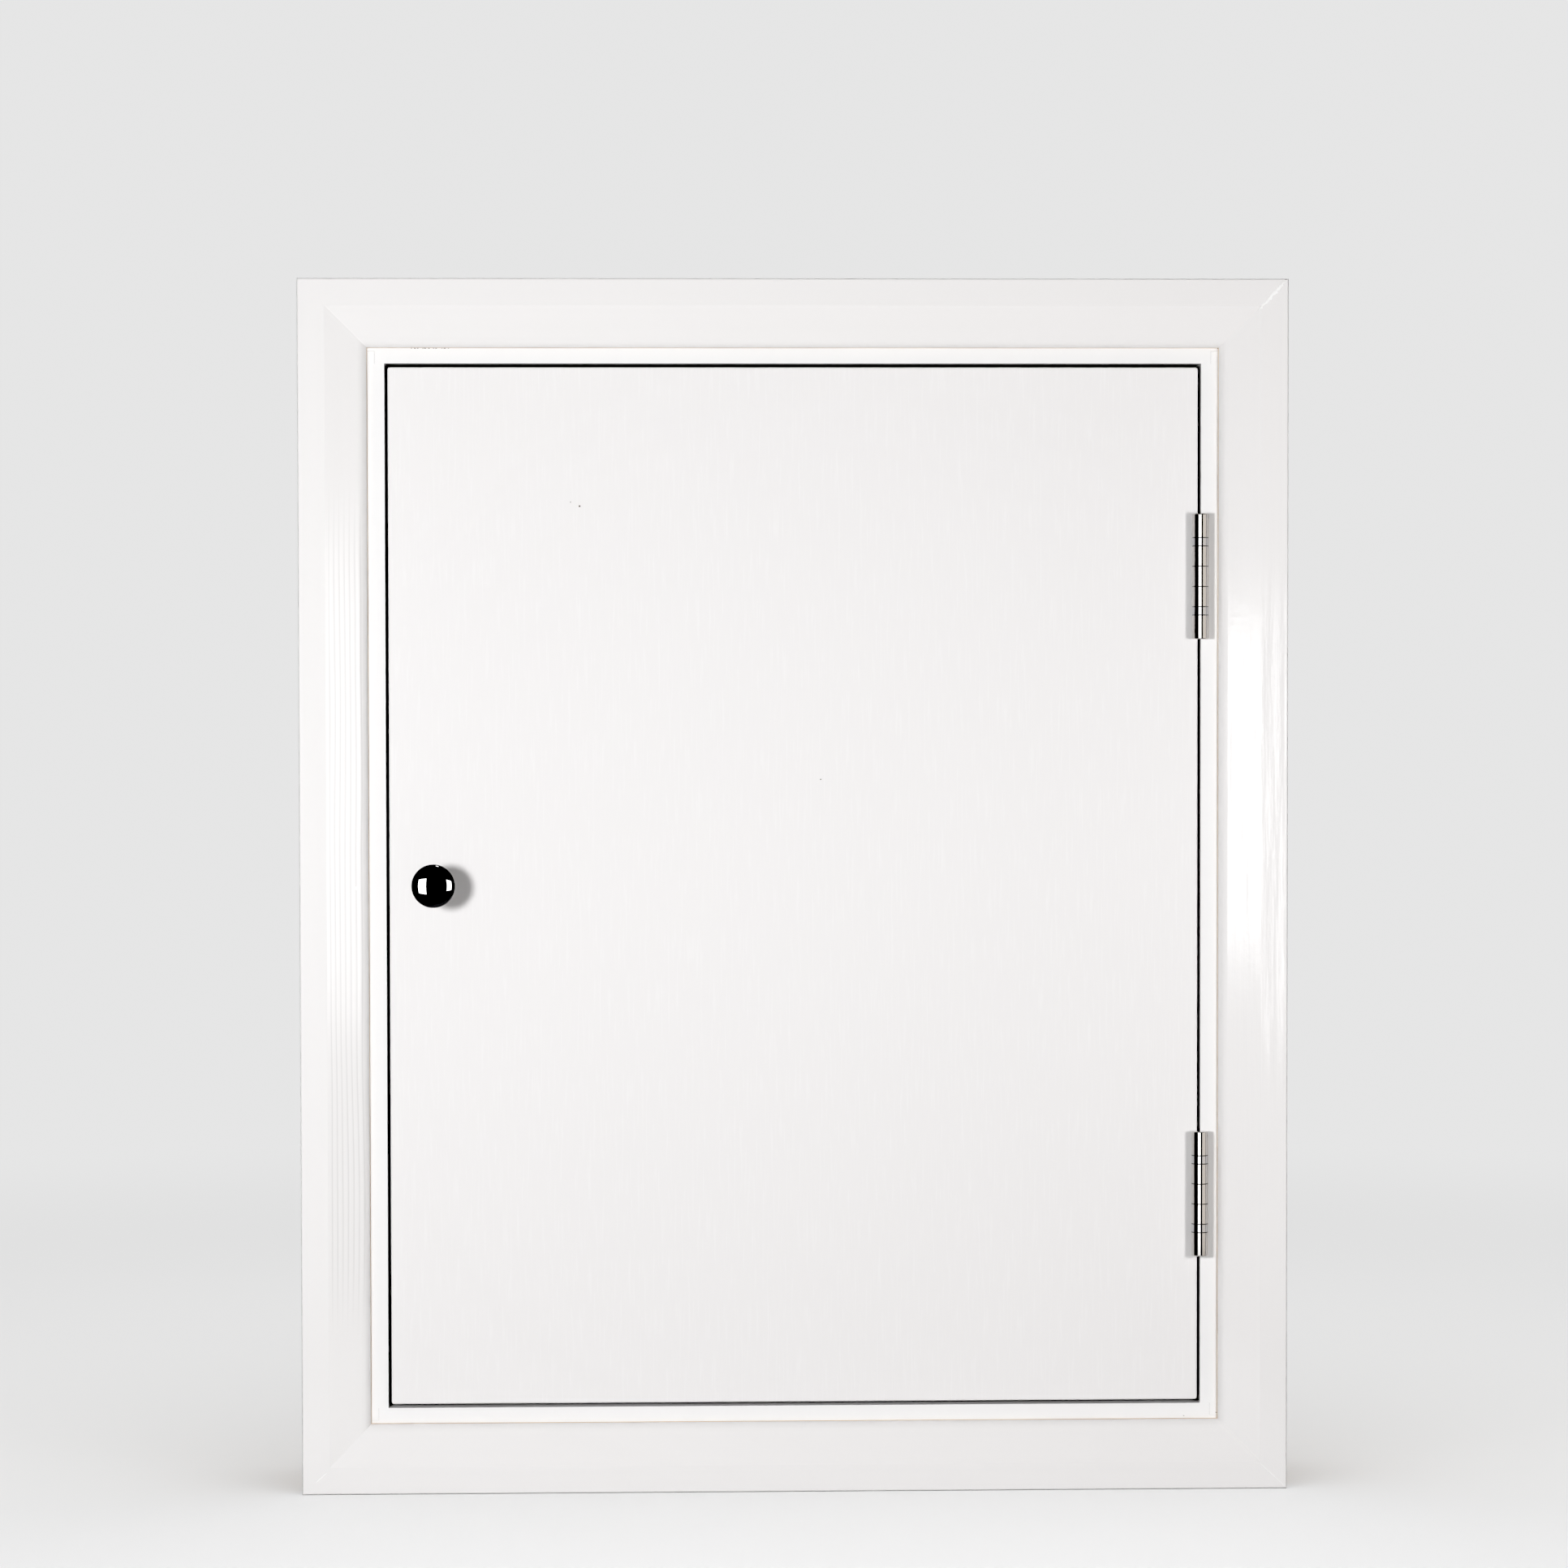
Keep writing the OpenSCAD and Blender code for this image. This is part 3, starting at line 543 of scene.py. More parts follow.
@dataclass(frozen=True)
class Lacquer:
    """Deep black gloss with faint handling marks and a little dust."""

    name: str
    tone: Tone = (0.0015, 0.0015, 0.0018)
    dust: Tone = (0.05, 0.05, 0.05)
    roughness: float = 0.03
    specular: float = 0.9

    def build(self) -> bpy.types.Material:
        """Makes the material.

        Returns:
            The material.
        """
        shader = Shader(self.name)
        smears = shader.noise((90, 90, 60), 4.0)
        dust = 1 - shader.cells((700, 700, 700)).rise(0.04, 0.10)
        tone = shader.mix(dust * 0.4, self.tone, self.dust)
        rough = smears.rise(0.5, 0.85) * 0.06 + self.roughness
        normal = shader.bump(shader.noise((300, 300, 300), 2.0), 0.001 * MM)
        return shader.finish(tone, rough, Specular_IOR_Level=self.specular, Normal=normal)


@dataclass(frozen=True)
class FoilBoard:
    """Rigid foam board faced with reinforced foil."""

    name: str
    front: float
    back: float
    foil: Tone = (0.82, 0.83, 0.84)
    foam: Tone = (0.80, 0.68, 0.42)
    scrim: float = 9 * MM
    skin: float = 0.4 * MM

    def build(self) -> bpy.types.Material:
        """Makes the material.

        Returns:
            The material.
        """
        shader = Shader(self.name)
        x, y, z = shader.where.axes()
        faced = (y < self.front + self.skin).most(y > self.back - self.skin)
        threads = self._thread(x).most(self._thread(z))
        creases = shader.noise((30, 30, 30), 3.0, 0.5)
        pores = shader.cells((900, 900, 900))
        height = faced * (threads * 0.25 + creases) + (1 - faced) * pores
        sheet = shader.mix(creases.rise(0.3, 0.7), shade(self.foil, 0.84), self.foil)
        sheet = shader.mix(threads * 0.5, sheet, shade(self.foil, 0.7))
        foam = shader.mix(pores * 0.5, self.foam, shade(self.foam, 0.8))
        rough = faced * (creases * 0.2 + 0.28) + (1 - faced) * 0.85
        normal = shader.bump(height, 0.2 * MM)
        return shader.finish(shader.mix(faced, foam, sheet), rough, Metallic=faced, Normal=normal)

    def _thread(self, axis: Sock) -> Sock:
        """Fine raised threads square to one axis."""
        return (axis * (2 * math.pi / self.scrim)).sine().rise(0.93, 1.0)


@dataclass(frozen=True)
class Grained:
    """A plain stuff or plated metal, with a grain in its colour, sheen and relief."""

    name: str
    tone: Tone
    other: Tone
    scale: float = 800
    depth: float = 0.03 * MM
    roughness: float = 0.6
    sway: float = 0.12
    layers: tuple[float, float] = (4.0, 0.6)
    patchy: bool = True
    pits: float = 0.0
    metallic: float = 0.0

    def build(self) -> bpy.types.Material:
        """Makes the material.

        Returns:
            The material.
        """
        shader = Shader(self.name)
        grain = shader.noise((self.scale,) * 3, *self.layers)
        share = grain.rise(0.3, 0.7) if self.patchy else grain
        tone = shader.mix(share, self.tone, self.other)
        rough = grain * self.sway + (self.roughness - self.sway / 2)
        normal = shader.bump(shader.cells((self.pits,) * 3) if self.pits else grain, self.depth)
        return shader.finish(tone, rough, Metallic=self.metallic, Normal=normal)


@dataclass(frozen=True)
class ChipBoard:
    """Pressed wood chips of the leaf's core."""

    name: str
    pale: Tone = (0.72, 0.57, 0.38)
    dark: Tone = (0.42, 0.29, 0.17)

    def build(self) -> bpy.types.Material:
        """Makes the material.

        Returns:
            The material.
        """
        shader = Shader(self.name)
        chips = shader.cells((420, 300, 160))
        fibres = shader.noise((900, 500, 300))
        tone = shader.mix(fibres * 0.5, shader.mix(chips, self.dark, self.pale), self.pale)
        return shader.finish(tone, 0.75, Normal=shader.bump(chips + fibres, 0.2 * MM))


def arc(
    centre: tuple[float, float], radius: float, start: float, end: float, steps: int,
    rise: float | None = None,
) -> list[tuple[float, float]]:
    """Points of a round or an oval arc.

    Args:
        centre: Centre's distance from the axis, and its height.
        radius: Radius.
        start: First angle in degrees, from the X axis.
        end: Last angle in degrees.
        steps: Number of stretches.
        rise: Upright radius of an oval, if it isn't the same.

    Returns:
        The points, both ends included.
    """
    upright = radius if rise is None else rise
    turns = [math.radians(start + (end - start) * i / steps) for i in range(steps + 1)]
    return [(centre[0] + radius * math.cos(t), centre[1] + upright * math.sin(t)) for t in turns]


def facing(place: Sequence[float], way: Sequence[float], spin: float = 0.0) -> Matrix:
    """A placement with local Z turned the given way.

    Args:
        place: Where the local origin goes.
        way: Where local Z points.
        spin: Turn about local Z in radians.

    Returns:
        The matrix.
    """
    turn = Vector(way).to_track_quat("Z", "Y").to_matrix().to_4x4()
    return Matrix.Translation(place) @ turn @ Matrix.Rotation(spin, 4, "Z")


class Form:
    """A mesh in the making, with the operations that the pieces share."""

    TINY = 1e-7
    CROSS_TAPER = 0.55

    def __init__(self) -> None:
        """Starts an empty mesh."""
        self.bm = bmesh.new()

    def turned(self, profile: Sequence[tuple[float, float]], steps: int, ring: bool = False) -> "Form":
        """Turns a profile about Z.

        Args:
            profile: The outline as (radius, height), from the axis to the axis.
            steps: Number of faces round.
            ring: Whether the outline closes on itself clear of the axis.

        Returns:
            This form.
        """
        points = [self.bm.verts.new((radius, 0, height)) for radius, height in profile]
        ends = points[1:] + points[:1] if ring else points[1:]
        edges = [self.bm.edges.new(pair) for pair in zip(points, ends)]
        bmesh.ops.spin(
            self.bm, geom=points + edges, cent=(0, 0, 0), axis=(0, 0, 1), angle=2 * math.pi,
            steps=steps, use_merge=True,
        )
        bmesh.ops.remove_doubles(self.bm, verts=self.bm.verts, dist=self.TINY)
        bmesh.ops.recalc_face_normals(self.bm, faces=self.bm.faces)
        return self

    def top(self) -> list[bmesh.types.BMFace]:
        """The faces that lie flat at height 0."""
        return [f for f in self.bm.faces if all(abs(v.co.z) < self.TINY for v in f.verts)]

    def cross_recess(self, width: float, reach: float, depth: float) -> "Form":
        """Sinks a tapered cross into the flat top.

        Args:
            width: Width of each slot.
            reach: Half the length of each slot.
            depth: Depth of the cross.

        Returns:
            This form.
        """
        bmesh.ops.dissolve_faces(self.bm, faces=self.top())
        for normal in (Vector((1, 0, 0)), Vector((0, 1, 0))):
            for offset in (-reach, -width / 2, width / 2, reach):
                flat = self.top()
                parts = {v for f in flat for v in f.verts} | {e for f in flat for e in f.edges} | set(flat)
                bmesh.ops.bisect_plane(
                    self.bm, geom=list(parts), dist=self.TINY, plane_co=normal * offset, plane_no=normal
                )
        sunk = [f for f in self.top() if self._in_cross(f, width, reach)]
        grown = bmesh.ops.extrude_face_region(self.bm, geom=sunk)["geom"]
        floor = [v for v in grown if isinstance(v, bmesh.types.BMVert)]
        bmesh.ops.translate(self.bm, verts=floor, vec=(0, 0, -depth))
        bmesh.ops.scale(self.bm, verts=floor, vec=(self.CROSS_TAPER, self.CROSS_TAPER, 1))
        bmesh.ops.delete(self.bm, geom=[f for f in sunk if f.is_valid], context="FACES_ONLY")
        return self

    def _in_cross(self, face: bmesh.types.BMFace, width: float, reach: float) -> bool:
        """Whether a face of the top lies in the cross."""
        near, far = sorted(abs(c) for c in face.calc_center_bounds().xy)
        return near < width / 2 and far < reach

    def copies(self, other: "Form", places: Iterable[Matrix]) -> "Form":
        """Adds copies of another form.

        Args:
            other: The form to copy.
            places: Where each copy goes.

        Returns:
            This form.
        """
        for place in places:
            mesh = bpy.data.meshes.new("copy")
            other.bm.to_mesh(mesh)
            mesh.transform(place)
            self.bm.from_mesh(mesh)
            bpy.data.meshes.remove(mesh)
        return self

    def moved(self, place: Matrix) -> "Form":
        """Moves the whole form."""
        bmesh.ops.transform(self.bm, matrix=place, verts=self.bm.verts)
        return self

    def piece(
        self, name: str, body: str, slot: str, material: bpy.types.Material,
        replaced: Sequence[str] = (), sharp: float = 35,
    ) -> bpy.types.Object:
        """Finishes the mesh as a piece that rides on a body.

        Args:
            name: Name of the piece.
            body: Body that it moves with.
            slot: Material slot of the record. Not used.
            material: Its finish.
            replaced: Nodes that it stands for.
            sharp: Angle in degrees above which an edge stays sharp.

        Returns:
            The piece.
        """
        bmesh.ops.remove_doubles(self.bm, verts=self.bm.verts, dist=self.TINY)
        bmesh.ops.recalc_face_normals(self.bm, faces=self.bm.faces)
        mesh = bpy.data.meshes.new(name)
        self.bm.to_mesh(mesh)
        self.bm.free()
        mesh.shade_smooth()
        mesh.set_sharp_from_angle(angle=math.radians(sharp))
        made = bpy.data.objects.new(name, mesh)
        bpy.context.scene.collection.objects.link(made)
        mesh.materials.append(material)
        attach(made, body)
        if replaced:
            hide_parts(*replaced)
        LOG.info("%s: %d faces on %s", name, len(mesh.polygons), body)
        return made


def dress(material: bpy.types.Material, *names: str) -> None:
    """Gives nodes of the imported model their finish.

    Args:
        material: The finish.
        *names: The nodes.
    """
    for name in names:
        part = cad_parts[name]
        if not part.material_slots:
            part.data.materials.append(material)
        for slot in part.material_slots:
            slot.material = material
        LOG.info("%s: %s", name, material.name)


@dataclass(frozen=True)
class Screw:
    """A cross recessed screw that points down, with its head's top at height 0.

    The width and the depth of its cross are a share of the flat top's radius and an allowance.
    """

    head_r: float
    head_h: float
    shank_r: float
    length: float
    head: Head = Head.COUNTERSUNK
    rim: float = 0.3 * MM
    cross_width: tuple[float, float] = (0.24, 0.4 * MM)
    cross_depth: tuple[float, float] = (0.34, 0.5 * MM)
    cross_reach: float = 0.62
    point: float = 1.5
    dome: float = 0.8

    def form(self) -> Form:
        """Turns the screw and sinks its cross.

        Returns:
            The screw's mesh.
        """
        flat_r = self.head_r * self.head.value
        outline = [(0.0, 0.0), (flat_r, 0.0), *self._edge(flat_r)]
        outline += [(self.shank_r, self.point * self.shank_r - self.length), (0.0, -self.length)]
        width, depth = (share * flat_r + more for share, more in (self.cross_width, self.cross_depth))
        return Form().turned(outline, 32).cross_recess(width, self.cross_reach * flat_r, depth)

    def _edge(self, flat_r: float) -> list[tuple[float, float]]:
        """The head's outline from the edge of its flat top to the shank.

        Args:
            flat_r: Radius of the flat top.

        Returns:
            The points.
        """
        if self.head is Head.COUNTERSUNK:
            rim = [(self.head_r, -0.25 * self.rim), (self.head_r, -self.rim)]
            return [*rim, (self.shank_r, -self.head_h)]
        drop = self.dome * self.head_h
        side = arc((flat_r, -drop), self.head_r - flat_r, 75, 0, 5, drop)
        return [*side, (self.head_r, -self.head_h), (self.shank_r, -self.head_h)]


HINGE_SCREW = Screw(4.4 * MM, 2.6 * MM, 2.25 * MM, 25 * MM)
SMALL_SCREW = Screw(3 * MM, 1.5 * MM, 1.5 * MM, 14 * MM)
LINING_SCREW = Screw(5 * MM, 2.5 * MM, 2.5 * MM, 70 * MM)
BOARD_SCREW = Screw(5 * MM, 2 * MM, 2.3 * MM, 73.2 * MM, Head.PAN)
Spot = tuple[Sequence[float], Sequence[float]]


@dataclass
class Fixings:
    """Every screw that shows when the door is open or seen from behind."""

    zinc: bpy.types.Material
    yellow: bpy.types.Material
    hinge_mid: float = 13 * MM
    washer_r: float = 18 * MM
    washer_hole: float = 2.5 * MM
    washer_sheet: float = 0.5 * MM
    washer_rings: Sequence[float] = (0.90, 0.84, 0.66, 0.60, 0.42, 0.36)
    dice: random.Random = field(default_factory=lambda: random.Random(7))

    def build(self) -> None:
        """Makes every set of screws."""
        for hinge in ("upper_hinge", "lower_hinge"):
            self._hinge_screws(f"{hinge}_frame_screws", "frame", -1)
            self._hinge_screws(f"{hinge}_door_screws", "door", 1)
        self._small_screws("catch_screws", "frame", 0)
        self._small_screws("keep_screws", "door", 1)
        self._lining_screws()
        self._board_screws()

    def _screws(self, node: str, body: str, screw: Screw, spots: Iterable[Spot]) -> None:
        """Makes one node's screws, each turned by chance.

        Args:
            node: The node that they stand for.
            body: Body that they move with.
            screw: Their size.
            spots: Place and outward direction of each head.
        """
        yellow = screw in (LINING_SCREW, BOARD_SCREW)
        slot = "hinge_steel" if screw is HINGE_SCREW else "yellow_zinc" if yellow else "zinc_steel"
        turns = [facing(place, way, self.dice.uniform(0, math.pi)) for place, way in spots]
        made = Form().copies(screw.form(), turns)
        made.piece(f"{node}_cross", body, slot, self.yellow if yellow else self.zinc, [node])

    def _hinge_screws(self, node: str, body: str, way: int) -> None:
        """Makes the four screws of one hinge plate.

        Args:
            node: The node that they stand for.
            body: Body that they move with.
            way: Sign of the heads' direction along X.
        """
        low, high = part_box(node)
        face = high.x if way > 0 else low.x
        edge = HINGE_SCREW.head_r
        middle = (low.z + high.z) / 2
        spread = (high.z - low.z) / 2 - edge
        rows = ((high.y - edge, spread), (low.y + edge, self.hinge_mid))
        spots = [((face, y, middle + side * rise), (way, 0, 0)) for side in (-1, 1) for y, rise in rows]
        self._screws(node, body, HINGE_SCREW, spots)

    def _small_screws(self, node: str, body: str, axis: int) -> None:
        """Makes two small screws one above the other.

        Args:
            node: The node that they stand for.
            body: Body that they move with.
            axis: Axis that the heads face along, 0 for X and 1 for Y.
        """
        low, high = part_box(node)
        place = middle_of(node)
        place[axis] = high[axis]
        way = [float(axis == 0), float(axis == 1), 0.0]
        edge = SMALL_SCREW.head_r
        spots = [((place.x, place.y, z), way) for z in (low.z + edge, high.z - edge)]
        self._screws(node, body, SMALL_SCREW, spots)

    def _lining_screws(self) -> None:
        """Makes the screws through the lining's head and sill into the jambs."""
        low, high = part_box("lining_screws")
        edge = LINING_SCREW.head_r
        spots = [
            ((x, y, z), (0, 0, way))
            for z, way in ((high.z, 1), (low.z, -1))
            for x in (low.x + edge, high.x - edge)
            for y in (low.y + edge, high.y - edge)
        ]
        self._screws("lining_screws", "frame", LINING_SCREW, spots)

    def _board_screws(self) -> None:
        """Makes the insulation's screws and their dished washers."""
        low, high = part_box("insulation_screws")
        edge = BOARD_SCREW.head_r
        grid = [
            (x, z) for x in (low.x + edge, high.x - edge)
            for z in (low.z + edge, (low.z + high.z) / 2, high.z - edge)
        ]
        back = (0, 1, 0)
        self._screws("insulation_screws", "door", BOARD_SCREW, [((x, high.y, z), back) for x, z in grid])
        seat, top = (corner.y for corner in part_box("insulation_washers"))
        places = [facing((x, seat, z), back) for x, z in grid]
        made = Form().copies(self._washer(top - seat), places)
        made.piece("insulation_washers_dished", "door", "zinc_steel", self.zinc, ["insulation_washers"])

    def _washer(self, height: float) -> Form:
        """A thin washer pressed into rings.

        Args:
            height: Height of the rings.

        Returns:
            The mesh, seated on height 0.
        """
        rim, sheet, hole = self.washer_r, self.washer_sheet, self.washer_hole
        levels = (sheet, height, height, sheet, sheet, height)
        rings = [(share * rim, level) for share, level in zip(self.washer_rings, levels)]
        outline = [(rim, 0.0), (rim, sheet), *rings, (hole, height), (hole, 0.0)]
        return Form().turned(outline, 72, ring=True)


@dataclass
class Knob:
    """The turned knob, with a low crown and a fuller back."""

    lacquer: bpy.types.Material
    neck_r: float = 6 * MM
    foot_r: float = 9.5 * MM
    foot_t: float = 2 * MM
    foot_edge: float = 0.6 * MM
    neck_round: float = 3 * MM
    crown: float = 5.2 * MM
    back: float = 15 * MM

    def build(self) -> bpy.types.Object:
        """Turns the foot, the neck and the head in one profile.

        Returns:
            The piece.
        """
        low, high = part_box("knob")
        head_r = (high.x - low.x) / 2
        rim = high.y - low.y - self.crown
        edge, bend = self.foot_edge, self.neck_round
        start = -math.degrees(math.acos(self.neck_r / head_r))
        outline = [(0.0, 0.0), (self.foot_r, 0.0)]
        outline += arc((self.foot_r - edge, self.foot_t - edge), edge, 0, 90, 6)
        outline += arc((self.neck_r + bend, self.foot_t + bend), bend, 270, 180, 10)
        outline += arc((0, rim), head_r, start, 0, 36, self.back)
        outline += arc((0, rim), head_r, 0, 90, 48, self.crown)[1:-1]
        outline.append((0.0, rim + self.crown))
        place = middle_of("knob")
        place.y = high.y
        made = Form().turned(outline, 128).moved(facing(place, (0, -1, 0)))
        return made.piece("knob_turned", "door", "knob_black", self.lacquer, ["knob"], 50)


@dataclass(frozen=True)
class Bead:
    """A low ragged ridge on a face that looks towards -Y."""

    name: str
    start: tuple[float, float]
    end: tuple[float, float]
    width: float
    height: float
    faces: tuple[int, int] = (16, 40)
    swell: tuple[float, float] = (0.5, 1.0)
    stray: float = 0.2

    def form(self, face: float, dice: random.Random) -> Form:
        """The bead's mesh.

        Args:
            face: Y of the face that it lies on.
            dice: Where its raggedness comes from.

        Returns:
            The mesh, in place.
        """
        start, end = (Vector((x, face, z)) for x, z in (self.start, self.end))
        size = Matrix.Diagonal((2 * self.height, self.width, (end - start).length, 1))
        made = Form()
        round_steps, long_steps = self.faces
        bmesh.ops.create_uvsphere(
            made.bm, u_segments=round_steps, v_segments=long_steps, radius=0.5, matrix=size
        )
        for ring in sorted({round(v.co.z, 6) for v in made.bm.verts}):
            verts = [v for v in made.bm.verts if round(v.co.z, 6) == ring]
            share = dice.uniform(*self.swell)
            bmesh.ops.scale(made.bm, verts=verts, vec=(share, share, 1))
            shift = dice.uniform(-self.stray, self.stray) * self.width
            bmesh.ops.translate(made.bm, verts=verts, vec=(0, shift, 0))
        cut = bmesh.ops.bisect_plane(
            made.bm, geom=made.bm.verts[:] + made.bm.edges[:] + made.bm.faces[:], dist=Form.TINY,
            plane_co=(0, 0, 0), plane_no=(1, 0, 0), clear_inner=True,
        )
        rim = [e for e in cut["geom_cut"] if isinstance(e, bmesh.types.BMEdge)]
        bmesh.ops.holes_fill(made.bm, edges=rim, sides=0)
        out, way = Vector((0, -1, 0)), (end - start).normalized()
        turn = Matrix((out, way.cross(out), way)).transposed().to_4x4()
        return made.moved(Matrix.Translation((start + end) / 2) @ turn)


@dataclass
class PaintMarks:
    """Filler along the mitres, as the painter left it and lighter as a painted highlight, and dark marks of
    painted shade in the small open joints.
    """

    # Finish of the mitre ridges, whiter than the trim's paint: a painted highlight.
    filler: bpy.types.Material
    shadow: bpy.types.Material
    dice: random.Random = field(default_factory=lambda: random.Random(11))
    gap_shade_w: float = 0.8 * MM
    gap_shade_depth: float = 0.25 * MM
    gap_shade_pitch: float = 3.1 * MM
    gap_shade_start: float = -310 * MM
    gap_shade_count: int = 11
    gap_shade_drift: float = 1 * MM
    gap_shade_half: tuple[float, float] = (0.4 * MM, 1.0 * MM)
    gap_shade_swell: tuple[float, float] = (0.5, 1.0)
    gap_shade_seat: float = 0.3 * MM
    top_gap_shade: float = 0.2 * MM
    foot_gap_shades: Sequence[tuple[float, float]] = ((0.6 * MM, 4.5 * MM), (27 * MM, 2 * MM))

    def build(self) -> None:
        """Makes the ridges on the mitres and the dark marks of painted shade in the small gaps at the inner
        joints.
        """
        low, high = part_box("architrave_left")[0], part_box("architrave_right")[1]
        self._ridge("right_top", (high.x, high.z), (-24.6, -25.6), (-2.9, -2.4), 3.4, 0.45)
        self._ridge("right_foot", (high.x, low.z), (-22, 21), (-2, 2), 0.9, 0.2)
        self._ridge("left_foot", (low.x, low.z), (20, 18), (11, 10), 1.1, 0.2)
        self._gap_shades()

    def _ridge(
        self, where: str, corner: tuple[float, float], start: tuple[float, float],
        end: tuple[float, float], width: float, height: float,
    ) -> None:
        """Makes the filler on one mitre, lighter than the paint round it as a painted highlight.

        Args:
            where: Which corner it is.
            corner: X and Z of the architrave's outer corner.
            start: Inner end, in millimetres from the corner.
            end: Outer end, in millimetres from the corner.
            width: Width in millimetres.
            height: Height in millimetres.
        """
        ends = [(corner[0] + x * MM, corner[1] + z * MM) for x, z in (start, end)]
        ridge = Bead(f"mitre_filler_{where}", *ends, width * MM, height * MM)
        form = ridge.form(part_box("architrave_left")[0].y, self.dice)
        form.piece(ridge.name, "frame", "painted_trim", self.filler, sharp=60)

    def _gap_shades(self) -> None:
        """Makes dark marks of painted shade for the small gaps where the architrave's nose meets the
        lining's edge.
        """
        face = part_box("lining_head")[0].y
        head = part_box("architrave_head")[0].z - self.gap_shade_seat
        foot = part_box("architrave_sill")[1].z
        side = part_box("architrave_right")[0].x
        row = [self.gap_shade_start + self.gap_shade_pitch * i for i in range(self.gap_shade_count)]
        spots = [(x + self.dice.uniform(-1, 1) * self.gap_shade_drift, head) for x in row]
        spots.append((side - self.top_gap_shade, head))
        spots += [(side - inset, foot + rise) for inset, rise in self.foot_gap_shades]
        made = Form()
        for x, z in spots:
            start = (x - self.dice.uniform(*self.gap_shade_half), z)
            end = (x + self.dice.uniform(*self.gap_shade_half), z)
            width = self.gap_shade_w * self.dice.uniform(*self.gap_shade_swell)
            mark = Bead("gap_shade", start, end, width, self.gap_shade_depth, (8, 8))
            made.copies(mark.form(face, self.dice), [Matrix.Identity(4)])
        made.piece("joint_gap_shades", "frame", "painted_trim", self.shadow, sharp=60)


@dataclass
class InsulationTape:
    """Foil tape over the cut edges of the insulation board."""

    tape: bpy.types.Material
    width: float = 38 * MM
    sheet: float = 0.18 * MM
    step: float = 9 * MM
    notch_gap: float = 6 * MM
    notch_end: float = 9.9 * MM
    lift: tuple[float, float] = (0.6, 1.9)
    dice: random.Random = field(default_factory=lambda: random.Random(23))

    def build(self) -> None:
        """Lays a strip along every edge of the board's back, and round the notch at the catch."""
        low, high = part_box("insulation_board")
        catch_low, catch_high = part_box("catch_body")
        depth = catch_high.x + self.notch_end
        floor, ceiling = catch_low.z - self.notch_gap, catch_high.z + self.notch_gap
        w = self.width
        strips = {
            "top": ((low.x, high.z - w), (high.x, high.z)),
            "bottom": ((low.x, low.z), (high.x, low.z + w)),
            "right": ((high.x - w, low.z + w), (high.x, high.z - w)),
            "left_upper": ((low.x, ceiling), (low.x + w, high.z - w)),
            "left_lower": ((low.x, low.z + w), (low.x + w, floor)),
            "notch": ((depth, floor), (depth + w, ceiling)),
        }
        for name, (start, end) in strips.items():
            self._strip(f"foil_tape_{name}", Vector(start), Vector(end), high.y)

    def _strip(self, name: str, start: Vector, end: Vector, face: float) -> None:
        """Lays one strip, slightly wrinkled.

        Args:
            name: Name of the piece.
            start: Its lowest X and Z.
            end: Its highest X and Z.
            face: Y of the board's back.
        """
        size, middle = end - start, (start + end) / 2
        place = Matrix.Translation((middle.x, face, middle.y)) @ Matrix.Rotation(-math.pi / 2, 4, "X")
        across, down = (max(2, round(length / self.step)) for length in size)
        made = Form()
        bmesh.ops.create_grid(
            made.bm, x_segments=across, y_segments=down, size=0.5,
            matrix=place @ Matrix.Diagonal((size.x, size.y, 1, 1)),
        )
        grown = bmesh.ops.extrude_face_region(made.bm, geom=made.bm.faces[:], use_keep_orig=True)["geom"]
        for vert in (v for v in grown if isinstance(v, bmesh.types.BMVert)):
            vert.co.y = face + self.sheet * self.dice.uniform(*self.lift)
        made.piece(name, "door", "foil_board", self.tape, sharp=80)


@dataclass(frozen=True)
class Panel:
    """One soft light panel."""

    name: str
    place: Sequence[float]
    aim: Sequence[float]
    size: tuple[float, float]
    power: float
    tone: Tone = (1.0, 1.0, 1.0)
    link: Link | None = None
    pieces: Sequence[str] = ()
    dull: bool = True
    gloss: bool = True
    shadowless: Sequence[str] = ()

    def build(self) -> None:
        """Hangs the panel."""
        lamp = bpy.data.lights.new(self.name, "AREA")
        lamp.shape = "RECTANGLE"
        lamp.size, lamp.size_y = self.size
        lamp.energy = self.power
        lamp.color = self.tone
        hung = bpy.data.objects.new(self.name, lamp)
        hung.location = self.place
        hung.rotation_euler = (Vector(self.aim) - Vector(self.place)).to_track_quat("-Z", "Y").to_euler()
        hung.visible_camera = False
        hung.visible_diffuse = self.dull
        hung.visible_glossy = self.gloss
        bpy.context.scene.collection.objects.link(hung)
        if self.link is not None:
            hung.light_linking.receiver_collection = self._group("lit", self.pieces, self.link)
        if self.shadowless:
            casting = self._group("casting", self.shadowless, Link.ALL_BUT)
            hung.light_linking.blocker_collection = casting
        LOG.info("%s: %.1f W", self.name, self.power)

    def _group(self, use: str, pieces: Sequence[str], link: Link) -> bpy.types.Collection:
        """Gathers pieces that the light treats in a way of their own.

        Args:
            use: What the group is for.
            pieces: The pieces.
            link: Whether it holds for these pieces alone, or for all but these.

        Returns:
            The group.
        """
        group = bpy.data.collections.new(f"{self.name}_{use}")
        for name in pieces:
            group.objects.link(bpy.data.objects[name])
        for entry in group.collection_objects:
            entry.light_linking.link_state = link.value
        return group


